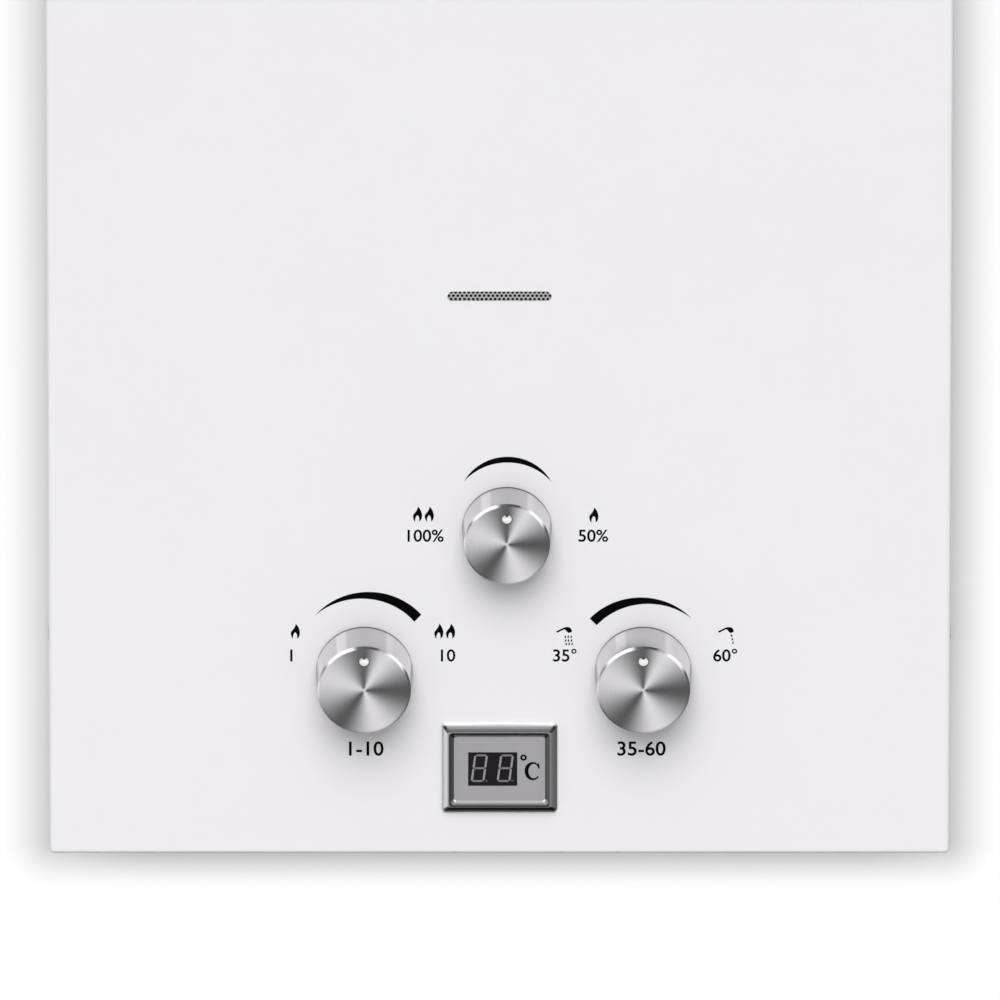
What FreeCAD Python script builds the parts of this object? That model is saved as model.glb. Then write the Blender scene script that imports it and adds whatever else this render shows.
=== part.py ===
"""Portable instantaneous propane water heater that hangs on a wall or a post. Sizes are in millimetres.

The frame: +X is to the right as the user faces the control panel, +Y points into the wall and +Z is up.
The origin is on the wall plane, in the middle of the heater's width, level with the underside of the cabinet.
Each piece is a closed solid, or a group of like solids, and is written to parts/NAME.step.
"""

import FreeCAD
import Part
import math
import os
from FreeCAD import Vector

# Gaps that pieces share
SHEET_GAP = 0.3  # between sheets that slide past each other, and under what lifts off
RUNNING_GAP = 0.05  # radial, round a shaft that turns or slides
SEAT_GAP = 0.1  # radial, round a piece that is fixed in its hole
OVER = 1.0  # how far a cutting shape runs past the face that it cuts
ROUND_END = 0.49  # share of a slot's width that rounds its ends

# Cabinet: a folded front cover over a tray-shaped back plate
WIDTH = 330.0
HEIGHT = 440.0
DEPTH = 150.0
COVER_SHEET = 0.8
COVER_EDGE_RADIUS = 1.6
CHASSIS_SHEET = 1.2
CHASSIS_FLANGE = 14.0

# Ears of the back plate, which the wall screws and the hanging hook go through
EAR_WIDTH = 150.0
EAR_REACH = 25.0
EAR_CORNER_RADIUS = 6.0
EAR_HOLE_INSET = 13.0
WALL_SCREW_SPACING = 120.0
WALL_HOLE_RADIUS = 2.75
HOOK_HOLE_RADIUS = 5.0
HOOK_SLOT_WIDTH = 4.5
HOOK_SLOT_REACH = 9.0

# Stiffening ribs and air slots of the back plate
RIB_WIDTH = 8.0
RIB_DEPTH = 0.6
RIB_INSET = 59.0  # from the cabinet's side
RIB_END_MARGIN = 40.0
BACK_SLOT_LENGTH = 30.0
BACK_SLOT_WIDTH = 4.0
BACK_SLOT_PITCH_X = 42.0
BACK_SLOT_PITCH_Z = 12.0
BACK_SLOT_COLUMNS = 5
BACK_SLOT_ROWS = 4
BACK_SLOT_LOW = 110.0

# Knobs
SIDE_KNOB_Z = 72.7
SEASON_KNOB_Z = 129.2
GAS_KNOB_X = -49.5
WATER_KNOB_X = 52.6
SEASON_KNOB_X = 2.7
SIDE_KNOB_RADIUS = 17.7
SIDE_KNOB_HEIGHT = 18.3
SEASON_KNOB_RADIUS = 16.35
SEASON_KNOB_HEIGHT = 15.8
KNOB_TAPER = 0.6
KNOB_CHAMFER = 0.7
KNOB_WALL = 1.5
KNOB_FACE_WALL = 1.8
KNOB_GAP = 0.8
KNOB_CORE_RECESS = 1.0
DIMPLE_RADIUS = 1.9
DIMPLE_DEPTH = 0.9
DIMPLE_EDGE_DISTANCE = 5.8

# Spindles, their rotary plugs and glands
D_SHAFT_RADIUS = 3.0
D_SHAFT_FLAT = 2.4  # from the axis to the flat
D_SHAFT_ENGAGEMENT = 11.0
D_SHAFT_TAIL = 5.0  # how far the flat runs on behind the panel
STEM_RADIUS = 4.0
PANEL_HOLE_RADIUS = 6.0
PLUG_RADIUS = 6.5
PLUG_LENGTH = 9.0
PLUG_END_GAP = 0.5
GLAND_FLATS = 17.0
GLAND_LENGTH = 7.0

# Flame window and its perforated strip
WINDOW_Z = 220.1
WINDOW_LENGTH = 38.0
WINDOW_WIDTH = 3.9
STRIP_MARGIN = 4.0
STRIP_SHEET = 0.5
PERFORATION_RADIUS = 0.52
PERFORATION_PITCH = 1.6
PERFORATION_ROWS = 3
PERFORATION_ROW_PITCH = 1.3

# Temperature display
DISPLAY_Z = 34.55
BEZEL_WIDTH = 42.4
BEZEL_HEIGHT = 35.2
BEZEL_DEPTH = 3.0
BEZEL_STEP = 0.8  # height of its straight outer edge
BEZEL_BAR = 2.4  # from the outer edge in to the crest
BEZEL_CREST = 0.7
BEZEL_CORNER_RADIUS = 1.4
LENS_WIDTH = 33.4
LENS_HEIGHT = 25.4
LENS_LEDGE = 1.0
LENS_SHEET = 1.0
LENS_RAISE = 1.6  # from the panel to the lens's front
DIGIT_WINDOW_WIDTH = 18.0
DIGIT_WINDOW_HEIGHT = 13.4
DIGIT_WINDOW_X = -2.5
DIGIT_WINDOW_Z = -0.2
DIGIT_RECESS = 0.25
LED_MODULE_DEPTH = 7.0
BEZEL_SPIGOT_WALL = 1.1
BEZEL_SPIGOT_LENGTH = 3.6
BOARD_SHEET = 1.6
BOARD_PIN_LENGTH = 2.4
BOARD_PIN_RADIUS = 0.4
HOUSING_WALL = 1.6
HOUSING_DEPTH = 9.0

# Gas valve: one axis along X carries the safety valve, the poppet and the push rod
VALVE_AXIS_Y = -50.0
VALVE_DEPTH = 48.0
VALVE_HEIGHT = 44.0
VALVE_EDGE_RADIUS = 3.0
GAS_BODY_OVERHANG = 33.5  # from the gas knob's axis to the body's right face
GAS_END_WALL = 6.0
OUTLET_CHAMBER_LENGTH = 16.0
OUTLET_CHAMBER_RADIUS = 12.0
SEAT_WALL = 4.0
POPPET_SEAT_RADIUS = 7.0
POPPET_RADIUS = 10.0
POPPET_THICKNESS = 4.0
POPPET_CHAMBER_LENGTH = 26.0
POPPET_CHAMBER_RADIUS = 12.5
SAFETY_SEAT_RADIUS = 5.0
INLET_CHAMBER_LENGTH = 16.0
INLET_CHAMBER_RADIUS = 13.0
POPPET_SPRING_RADIUS = 7.5
POPPET_SPRING_WIRE = 0.5
POPPET_SPRING_TURNS = 4
PUSH_ROD_RADIUS = 2.5
PUSH_ROD_TRAVEL = 4.0
COLLAR_RADIUS = 5.0
COLLAR_LENGTH = 3.0
COLLAR_OFFSET = 8.0  # from the water valve cover to the collar
GAS_PORT_RADIUS = 6.0
PLUG_PORT_RADIUS = 2.0

# Safety solenoid on the gas valve's left end
SOLENOID_FLANGE = 4.0
SOLENOID_FLANGE_SIZE = 40.0
COIL_RADIUS = 13.0
COIL_LENGTH = 28.0
PLUNGER_RADIUS = 4.0
PLUNGER_TRAVEL = 3.0
PLUNGER_END_GAP = 2.0
PLUNGER_DISC_RADIUS = 8.0
PLUNGER_DISC_THICKNESS = 3.0
COIL_END_WALL = 3.0

# Water valve and its diaphragm
DIAPHRAGM_OFFSET = 28.6  # from the diaphragm's left face to the water knob's axis
DIAPHRAGM_SHEET = 1.5
DIAPHRAGM_FLANGE_RADIUS = 31.0
DIAPHRAGM_CHAMBER_RADIUS = 24.0
DIAPHRAGM_PLATE_RADIUS = 18.0
DIAPHRAGM_PLATE_THICKNESS = 2.0
PLATE_END_GAP = 2.0  # left beside the push rod's plate at the end of its travel
WATER_COVER_WALL = 6.0
WATER_FLANGE_THICKNESS = 8.0
WATER_CHAMBER_DEPTH = 4.0
WATER_CHAMBER_LIP = 2.0  # how much smaller in radius it is than the chamber across the diaphragm
WATER_BODY_OVERHANG = 33.4  # from the water knob's axis to the body's right face
WATER_PASSAGE_RADIUS = 5.0
THROAT_RADIUS = 2.5
FLANGE_SCREWS = 6
FLANGE_SCREW_CIRCLE = 27.5
FLANGE_SCREW_GRIP = 6.0  # how far they go into the valve body

# Microswitch over the push rod
SWITCH_LENGTH = 20.0
SWITCH_DEPTH = 6.4
SWITCH_HEIGHT = 10.2
SWITCH_LEVER_SHEET = 0.8
SWITCH_LEVER_WIDTH = 4.0
SWITCH_LEVER_DROP = 1.0  # how far the lever reaches below the collar's top
SWITCH_PIVOT_RISE = 10.0  # from the collar's top to the lever's pivot
SWITCH_PIN_RADIUS = 0.8
SWITCH_BARREL_RADIUS = 1.6
SWITCH_CLEARANCE = 2.6  # from the pivot up to the switch's underside
SWITCH_EAR = 1.0
SWITCH_OVERHANG = 8.0  # from the pivot to the switch's right end
SWITCH_BRACKET_SHEET = 1.5
SWITCH_BRACKET_WIDTH = 10.0
SWITCH_BRACKET_FOOT = 4.0

# Season valve, which feeds the burner's gas rail
SEASON_BODY_FRONT = -118.0
SEASON_BODY_DEPTH = 38.0
SEASON_BODY_WIDTH = 54.0
SEASON_BODY_HEIGHT = 38.0
SEASON_ARM_HEIGHT = 28.0
SEASON_DUCT_OFFSET = 23.0  # from the body's front to the duct up into the manifold
RISER_RADIUS = 9.0

# Burner
BURNER_WIDTH = 190.0
BURNER_DEPTH = 96.0
BURNER_CENTRE_Y = -70.0
BURNER_LOW = 178.0
BURNER_HEIGHT = 27.0
BURNER_SHEET = 1.0
BAR_COUNT = 8
BAR_PITCH = 22.0
BAR_WIDTH = 9.0
BAR_TOP_MARGIN = 1.0
BAR_SHEET = 0.8
BAR_THROAT = 60.0
BAR_PORT_COUNT = 13
BAR_PORT_PITCH = 6.0
BAR_PORT_WIDTH = 1.0
BAR_PORT_LENGTH = 5.4
BAR_PORT_DEPTH = 6.0
FRAME_RIM_X = 15.0
FRAME_RIM_Y = 12.0
MOUTH_RADIUS = 5.0
MOUTH_Z = 186.0
MOUTH_REACH = 6.0
RAIL_WIDTH = 176.0
RAIL_SIZE = 14.0
RAIL_CLEARANCE = 6.2  # from the rail to the panel's back
RAIL_WALL = 3.0
MANIFOLD_FOOT_WIDTH = 30.0
MANIFOLD_PORT_RADIUS = 4.0
INJECTOR_FLATS = 8.0
INJECTOR_LENGTH = 3.0
INJECTOR_TIP_RADIUS = 2.2
INJECTOR_TIP_LENGTH = 1.5

# Heat exchanger
JACKET_SHEET = 0.8
JACKET_CORNER_RADIUS = 7.4
TUBE_RADIUS = 6.0
TUBE_WALL = 0.8
TUBE_PASSES = 5
TUBE_PITCH = 18.0
TUBE_DROP = 23.0  # from the jacket's top to the tubes
TUBE_EXIT = 7.0  # how far the joints stand out from the jacket
FIN_COUNT = 30
FIN_SHEET = 0.5
FIN_HEIGHT = 36.0
FIN_MARGIN = 6.0
VIEW_SLOT_LENGTH = 44.0
VIEW_SLOT_HEIGHT = 12.0
WRAP_GAP = 0.6
WRAP_BEND = 14.0
WRAP_FIRST_SHARE = 0.25  # of the jacket's height, up to the first turn
WRAP_SLOPE_SHARE = 0.034  # of the jacket's height, from each corner of the wrap to the next
RISER_BEND = 12.0
RISER_OFFSET = 14.0  # from the fin tube's end out to the riser
RISER_FIRST_SHARE = 0.14  # of the jacket's height
BEND_CLOSENESS = 0.01  # straight left between the two arcs of a return bend

# Electrodes
ELECTRODE_FIRST_X = 46.0
ELECTRODE_SPACING = 18.0
ELECTRODE_RISE = 9.0
CERAMIC_RADIUS = 3.2
CERAMIC_COLLAR_RADIUS = 5.0
CERAMIC_COLLAR_LENGTH = 3.0
CERAMIC_LENGTH = 22.0
CERAMIC_INSIDE = 8.0
PIN_RADIUS = 1.0
PIN_TAIL = 4.0
PIN_INSIDE = 12.0
PIN_BEND = 2.5

# Flue hood and the cap on top of the cabinet
HOOD_SHEET = 0.8
HOOD_SKIRT = 4.0
HOOD_STRAIGHT = 16.0
HOOD_TAPER_HEIGHT = 42.0
HOOD_HEADROOM = 17.0  # from the end of the taper to the cabinet's top
COLLAR_WIDTH = 150.0
COLLAR_DEPTH = 62.0
FLUE_COLLAR_RISE = 12.0
FLUE_OPENING_GAP = 2.0
CAP_WIDTH = 168.0
CAP_DEPTH = 68.0
CAP_HEIGHT = 22.0
CAP_SHEET = 0.8
CAP_FLANGE = 8.0
CAP_CORNER_RADIUS = 4.0
CAP_SLOT_WIDTH = 4.6
CAP_SLOT_HEIGHT = 12.0
CAP_SLOT_PITCH = 9.0
CAP_SLOT_END_MARGIN = 10.0
CAP_SCREW_SPACING = 40.0

# Carrying handle
HANDLE_SPAN = 236.0
HANDLE_ARM = 56.0
HANDLE_ROD_RADIUS = 3.5
HANDLE_BEND = 9.0
HANDLE_PIVOT_BEND = 5.0
HANDLE_PIVOT_LENGTH = 13.0
GRIP_LENGTH = 112.0
GRIP_RADIUS = 8.5
GRIP_EDGE_RADIUS = 2.0
GRIP_GROOVES = 9
GRIP_GROOVE_DEPTH = 0.7
GRIP_GROOVE_WIDTH = 2.4
GRIP_GROOVE_PITCH = 9.6
BRACKET_SHEET = 2.0
BRACKET_LENGTH = 34.0
BRACKET_BASE_WIDTH = 18.0
BRACKET_EAR_LENGTH = 20.0
BRACKET_EAR_RISE = 7.0  # above the bail's axis
BRACKET_EAR_RADIUS = 5.0
BRACKET_EAR_OFFSET = 5.0  # from the arm's axis out to the ear
BRACKET_SCREW_SPACING = 22.0

# Pipe fittings under the cabinet
THREAD_RADIUS = 10.48  # G 1/2 outside thread
THREAD_LENGTH = 16.0
THREAD_END_CHAMFER = 1.0
FITTING_STEM_RADIUS = 9.5
FITTING_HEX_FLATS = 26.0
FITTING_HEX_HEIGHT = 8.0
FITTING_HEX_DROP = 4.0  # from the cabinet's underside to the hexagon
FITTING_COLLAR_RADIUS = 14.0
FITTING_COLLAR_HEIGHT = 3.0
FITTING_BORE_RADIUS = 5.5
SOCKET_DEPTH = 8.0
OUTLET_STUB = 24.0
OUTLET_X = -136.0
OUTLET_PIPE_TURN_Z = 96.0
OUTLET_PIPE_FALL = 18.0
OUTLET_BEND = 14.0
WATER_INLET_X = 69.0
DRAIN_X = 40.0
DRAIN_RADIUS = 6.0
DRAIN_BORE_RADIUS = 3.0
DRAIN_DROP = 5.0
DRAIN_KNOB_RADIUS = 8.0
DRAIN_KNOB_HEIGHT = 12.0
DRAIN_WING_WIDTH = 2.6
DRAIN_WING_REACH = 10.5
DRAIN_WING_DROP = 2.0  # from the hub's top to the wing's
DRAIN_SPIGOT_LENGTH = 14.0

# Plate that closes the cabinet's underside
PLATE_MARGIN = 25.0
PLATE_DEPTH = 74.0
NOTCH_MARGIN = 6.0  # how far the plate overlaps the cover's notch

# Battery box, for two D cells end to end
BATTERY_X = -86.0
BATTERY_Y = -108.0
CELL_RADIUS = 17.1
CELL_BODY_LENGTH = 60.0
CELL_NUB_RADIUS = 4.75
CELL_NUB_LENGTH = 1.5
CELL_COUNT = 2
CELL_SIDE_GAP = 0.9
CELL_RISE = 0.5
BATTERY_SPRING_LENGTH = 6.0
BATTERY_SPRING_RADIUS = 6.5
BATTERY_SPRING_WIRE = 0.45
BATTERY_SPRING_TURNS = 3
CONTACT_SHEET = 0.4
CONTACT_SIZE = 16.0
BATTERY_WALL = 1.6
BATTERY_EAR_WIDTH = 70.0
BATTERY_EAR_OVERLAP = 10.0
BATTERY_EAR_SHEET = 2.0
DOOR_SHEET = 2.0
HINGE_OFFSET = 1.9  # from the box's rear wall to the hinge axis
HINGE_BARREL_RADIUS = 1.6
HINGE_PIN_RADIUS = 1.0
HINGE_PIN_LENGTH = 2.6
HINGE_EAR_WIDTH = 3.0
HINGE_KNUCKLE_WIDTH = 8.0
HINGE_INSET = 14.0
HINGE_EAR_MARGIN = 0.2  # material of the ear past the barrel's radius
HINGE_EAR_HEIGHT = 9.0
LATCH_WIDTH = 20.0
LATCH_SHEET = 1.0
LATCH_RISE = 3.0
LATCH_GAP = 0.6

# Igniter
IGNITER_INSET = 31.0  # from the cabinet's side
IGNITER_WIDTH = 44.0
IGNITER_DEPTH = 30.0
IGNITER_HEIGHT = 70.0
IGNITER_LOW = 120.0
IGNITER_EDGE_RADIUS = 2.5

# Folded brackets between the back plate and what stands in front of it
SUPPORT_WIDTH = 22.0
SUPPORT_LEG = 20.0
SUPPORT_SHEET = 1.2
FRAME_SUPPORT_RISE = 2.0
VALVE_SUPPORT_RISE = 4.0
FRAME_SUPPORT_X = 72.0
HOOD_SUPPORT_X = 60.0

# Screws
SCREW_RADIUS = 1.9
SCREW_HEAD_RADIUS = 3.6
SCREW_HEAD_CROWN = 2.6
SCREW_HEAD_HEIGHT = 2.0
SCREW_LENGTH = 7.0
CROSS_WIDTH = 0.8
CROSS_REACH = 2.1
CROSS_DEPTH = 1.0
SIDE_SCREW_INSET = 8.0
SIDE_SCREW_END = 30.0
UNDER_SLOT_LENGTH = 34.0
UNDER_SLOT_WIDTH = 4.0
UNDER_SLOT_PITCH_X = 44.0
UNDER_SLOT_PITCH_Y = 11.0
UNDER_SLOT_COLUMNS = 3
UNDER_SLOT_ROWS = 4
UNDER_SLOT_X = 72.0
UNDER_SLOT_Y = -110.0

# Planes and stations that follow from the sizes above
FRONT = -DEPTH
PANEL_BACK = FRONT + COVER_SHEET
COVER_REAR = -(CHASSIS_SHEET + SHEET_GAP)
INSIDE_HALF_WIDTH = WIDTH / 2 - COVER_SHEET
TRAY_HALF_WIDTH = INSIDE_HALF_WIDTH - SHEET_GAP
TRAY_LOW = COVER_SHEET + SHEET_GAP
TRAY_HIGH = HEIGHT - COVER_SHEET - SHEET_GAP
PLATE_LOW = TRAY_LOW + CHASSIS_SHEET
PLATE_TOP = PLATE_LOW + CHASSIS_SHEET
KNOB_BACK = FRONT - KNOB_GAP

VALVE_FRONT = VALVE_AXIS_Y - VALVE_DEPTH / 2
VALVE_REAR = VALVE_AXIS_Y + VALVE_DEPTH / 2
VALVE_LOW = SIDE_KNOB_Z - VALVE_HEIGHT / 2
VALVE_TOP = SIDE_KNOB_Z + VALVE_HEIGHT / 2
GAS_RIGHT = GAS_KNOB_X + GAS_BODY_OVERHANG
OUTLET_CHAMBER_RIGHT = GAS_RIGHT - GAS_END_WALL
OUTLET_CHAMBER_LEFT = OUTLET_CHAMBER_RIGHT - OUTLET_CHAMBER_LENGTH
POPPET_CHAMBER_RIGHT = OUTLET_CHAMBER_LEFT - SEAT_WALL
POPPET_CHAMBER_LEFT = POPPET_CHAMBER_RIGHT - POPPET_CHAMBER_LENGTH
INLET_CHAMBER_RIGHT = POPPET_CHAMBER_LEFT - SEAT_WALL
GAS_LEFT = INLET_CHAMBER_RIGHT - INLET_CHAMBER_LENGTH
GAS_INLET_X = GAS_LEFT + INLET_CHAMBER_LENGTH / 2
GAS_OUTLET_X = OUTLET_CHAMBER_LEFT + OUTLET_CHAMBER_LENGTH / 2
DIAPHRAGM_X = WATER_KNOB_X - DIAPHRAGM_OFFSET
DIAPHRAGM_CHAMBER_DEPTH = DIAPHRAGM_PLATE_THICKNESS + PUSH_ROD_TRAVEL + PLATE_END_GAP
WATER_COVER_LEFT = DIAPHRAGM_X - DIAPHRAGM_CHAMBER_DEPTH - WATER_COVER_WALL
WATER_LEFT = DIAPHRAGM_X + DIAPHRAGM_SHEET
WATER_RIGHT = WATER_KNOB_X + WATER_BODY_OVERHANG
COLLAR_X = WATER_COVER_LEFT - COLLAR_OFFSET - COLLAR_LENGTH
COLLAR_TOP = SIDE_KNOB_Z + COLLAR_RADIUS
SWITCH_PIVOT_X = COLLAR_X - SWITCH_LEVER_SHEET / 2 - RUNNING_GAP
SWITCH_PIVOT_Z = COLLAR_TOP + SWITCH_PIVOT_RISE
SWITCH_LOW = SWITCH_PIVOT_Z + SWITCH_CLEARANCE

SEASON_BODY_LOW = SEASON_KNOB_Z - SEASON_BODY_HEIGHT / 2
SEASON_BODY_TOP = SEASON_KNOB_Z + SEASON_BODY_HEIGHT / 2
MANIFOLD_DUCT_Y = SEASON_BODY_FRONT + SEASON_DUCT_OFFSET
BURNER_FRONT = BURNER_CENTRE_Y - BURNER_DEPTH / 2
BURNER_REAR = BURNER_CENTRE_Y + BURNER_DEPTH / 2
BURNER_TOP = BURNER_LOW + BURNER_HEIGHT
RAIL_FRONT = PANEL_BACK + RAIL_CLEARANCE
RAIL_REAR = RAIL_FRONT + RAIL_SIZE
HOOD_NECK = HEIGHT - HOOD_HEADROOM
HOOD_SHOULDER = HOOD_NECK - HOOD_TAPER_HEIGHT
JACKET_TOP = HOOD_SHOULDER - HOOD_STRAIGHT
JACKET_HEIGHT = JACKET_TOP - BURNER_TOP
HOOD_FOOT = JACKET_TOP - HOOD_SKIRT
TUBE_Z = JACKET_TOP - TUBE_DROP
FLUE_TOP = HEIGHT + FLUE_COLLAR_RISE
HANDLE_Y = BURNER_CENTRE_Y
HANDLE_Z = HEIGHT + GRIP_RADIUS + SHEET_GAP
THREAD_TOP = -(FITTING_HEX_DROP + FITTING_HEX_HEIGHT)
THREAD_END = THREAD_TOP - THREAD_LENGTH

CELL_LENGTH = CELL_BODY_LENGTH + CELL_NUB_LENGTH
BATTERY_INNER_LENGTH = CELL_COUNT * CELL_LENGTH + 2 * CONTACT_SHEET + BATTERY_SPRING_LENGTH
BATTERY_INNER_DEPTH = 2 * (CELL_RADIUS + CELL_SIDE_GAP)
BATTERY_LEFT = BATTERY_X - BATTERY_INNER_LENGTH / 2
BATTERY_RIGHT = BATTERY_X + BATTERY_INNER_LENGTH / 2
BATTERY_FRONT = BATTERY_Y - BATTERY_INNER_DEPTH / 2
BATTERY_REAR = BATTERY_Y + BATTERY_INNER_DEPTH / 2
CELL_Z = CELL_RISE + CELL_RADIUS
BATTERY_INNER_TOP = CELL_Z + CELL_RADIUS + CELL_SIDE_GAP
HINGE_Y = BATTERY_REAR + BATTERY_WALL + HINGE_OFFSET
DOOR_TOP = -SHEET_GAP
HINGE_Z = DOOR_TOP - DOOR_SHEET / 2

X_AXIS = Vector(1, 0, 0)
Y_AXIS = Vector(0, 1, 0)
Z_AXIS = Vector(0, 0, 1)


# Shapes that the pieces are built from


def span(centre, size):
    return (centre - size / 2, centre + size / 2)


def block(x, y, z):
    """A box from three (low, high) pairs."""
    return Part.makeBox(x[1] - x[0], y[1] - y[0], z[1] - z[0], Vector(x[0], y[0], z[0]))


def rod(radius, start, end):
    along = end - start
    return Part.makeCylinder(radius, along.Length, start, along)


def rod_x(radius, x, y, z):
    return rod(radius, Vector(x[0], y, z), Vector(x[1], y, z))


def rod_y(radius, x, y, z):
    return rod(radius, Vector(x, y[0], z), Vector(x, y[1], z))


def rod_z(radius, x, y, z):
    return rod(radius, Vector(x, y, z[0]), Vector(x, y, z[1]))


def hexagon(flats, start, end):
    """A hexagonal bar between two points."""
    along = end - start
    corner = (X_AXIS if abs(along.x) < abs(along.z) + abs(along.y) else Y_AXIS) * (flats / math.sqrt(3))
    turn = FreeCAD.Rotation(along, 60)
    corners = [start + corner]
    for _ in range(6):
        corner = turn.multVec(corner)
        corners.append(start + corner)
    return Part.Face(Part.makePolygon(corners)).extrude(along)


def stadium(length, width, centre, y):
    """A slot-shaped bar along Y, with its long side along X."""
    straight = (length - width) / 2
    middle = block((centre.x - straight, centre.x + straight), y, span(centre.z, width))
    ends = [rod_y(width / 2, centre.x + side * straight, y, centre.z) for side in (-1, 1)]
    return middle.fuse(ends).removeSplitter()


def rounded_block(x, y, z, radius, along):
    """A box with the four edges along one axis rounded."""
    box = block(x, y, z)
    edges = [e for e in box.Edges if abs(e.tangentAt(e.FirstParameter).dot(along)) > 0.99]
    return box.makeFillet(radius, edges)


def turned_about_y(profile, x, z):
    """A solid of revolution about a line along Y, from (radius, y) points."""
    points = [Vector(x + radius, y, z) for radius, y in profile]
    face = Part.Face(Part.makePolygon(points + points[:1]))
    return face.revolve(Vector(x, 0, z), Y_AXIS, 360)


def frustum(low_half, high_half, centre_y, z):
    """A rectangular solid that tapers upwards, from (half width, half depth) pairs."""
    wires = []
    for (half_x, half_y), level in zip((low_half, high_half), z):
        corners = [(-1, -1), (1, -1), (1, 1), (-1, 1), (-1, -1)]
        points = [Vector(i * half_x, centre_y + j * half_y, level) for i, j in corners]
        wires.append(Part.makePolygon(points))
    return Part.makeLoft(wires, True, True)


def bent_path(points, bends):
    """A wire of straight runs joined by tangent arcs, with one bend radius for each inner point."""
    edges = []
    start = points[0]
    for before, corner, after, bend in zip(points, points[1:], points[2:], bends):
        arriving = (corner - before).normalize()
        leaving = (after - corner).normalize()
        half_turn = arriving.getAngle(leaving) / 2
        reach = bend * math.tan(half_turn)
        inward = (leaving - arriving).normalize()
        arc_start = corner - arriving * reach
        arc_middle = corner + inward * (bend / math.cos(half_turn) - bend)
        arc_end = corner + leaving * reach
        edges.append(Part.makeLine(start, arc_start))
        edges.append(Part.Arc(arc_start, arc_middle, arc_end).toShape())
        start = arc_end
    edges.append(Part.makeLine(start, points[-1]))
    return Part.Wire(edges)


def swept(path, radius, start, along):
    circle = Part.Wire(Part.makeCircle(radius, start, along))
    return path.makePipeShell([circle], True, False)


def tube(points, bends, radius, bore=None):
    """A round bar along a bent path, or a tube if it has a bore."""
    path = bent_path(points, bends)
    along = points[1] - points[0]
    outside = swept(path, radius, points[0], along)
    if bore is None:
        return outside
    return outside.cut(swept(path, bore, points[0], along))


def coil(radius, wire, length, turns, start, along):
    """A helical spring that begins at start."""
    helix = Part.makeHelix(length / turns, length, radius)
    section = Part.Wire(Part.makeCircle(wire, Vector(radius, 0, 0), Y_AXIS))
    spring = Part.Wire(helix.Edges).makePipeShell([section], True, True)
    spring.Placement = FreeCAD.Placement(start, FreeCAD.Rotation(Z_AXIS, along))
    return spring


def screw(seat, into, length=SCREW_LENGTH):
    """A cross-head screw: seat is the point under its head, and into the way that it is driven."""
    head = Part.makeCone(SCREW_HEAD_CROWN, SCREW_HEAD_RADIUS, SCREW_HEAD_HEIGHT, -Z_AXIS * SCREW_HEAD_HEIGHT)
    shank = Part.makeCylinder(SCREW_RADIUS, length)
    made = head.fuse(shank)
    deep = (-SCREW_HEAD_HEIGHT - OVER, -SCREW_HEAD_HEIGHT + CROSS_DEPTH)
    for x, y in ((CROSS_REACH, CROSS_WIDTH / 2), (CROSS_WIDTH / 2, CROSS_REACH)):
        made = made.cut(block((-x, x), (-y, y), deep))
    made.Placement = FreeCAD.Placement(seat, FreeCAD.Rotation(Z_AXIS, into))
    return made


def group(solids):
    return Part.makeCompound(solids)


# Cabinet


def wall_screw_points():
    """The four places of the wall screws, on the wall plane."""
    levels = (-EAR_HOLE_INSET, HEIGHT + EAR_HOLE_INSET)
    return [Vector(side * WALL_SCREW_SPACING / 2, 0, z) for z in levels for side in (-1, 1)]


def side_screw_seats():
    """(seat, direction) of the four screws that hold the cover to the tray's flanges."""
    levels = (SIDE_SCREW_END, HEIGHT - SIDE_SCREW_END)
    return [
        (Vector(side * WIDTH / 2, -SIDE_SCREW_INSET, z), X_AXIS * -side)
        for side in (-1, 1)
        for z in levels
    ]


def cap_screw_seats():
    """(seat, direction) of the four screws through the flue cap's end flanges."""
    x = CAP_WIDTH / 2 + CAP_FLANGE / 2
    z = HEIGHT + CAP_SHEET
    return [
        (Vector(side * x, y, z), -Z_AXIS)
        for side in (-1, 1)
        for y in span(BURNER_CENTRE_Y, CAP_SCREW_SPACING)
    ]


def bracket_base_x(side):
    """The (low, high) of a handle bracket's base along X."""
    ear = HANDLE_SPAN / 2 + BRACKET_EAR_OFFSET
    inner, outer = side * ear, side * (ear + BRACKET_BASE_WIDTH)
    return (min(inner, outer), max(inner, outer))


def bracket_screw_seats():
    """(seat, direction) of the screws that hold the handle's brackets."""
    seats = []
    for side in (-1, 1):
        low, high = bracket_base_x(side)
        x = (low + high + side * BRACKET_SHEET) / 2
        for y in span(HANDLE_Y, BRACKET_SCREW_SPACING):
            seats.append((Vector(x, y, HEIGHT + BRACKET_SHEET), -Z_AXIS))
    return seats


def cover_screw_seats():
    return side_screw_seats() + cap_screw_seats() + bracket_screw_seats()


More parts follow.
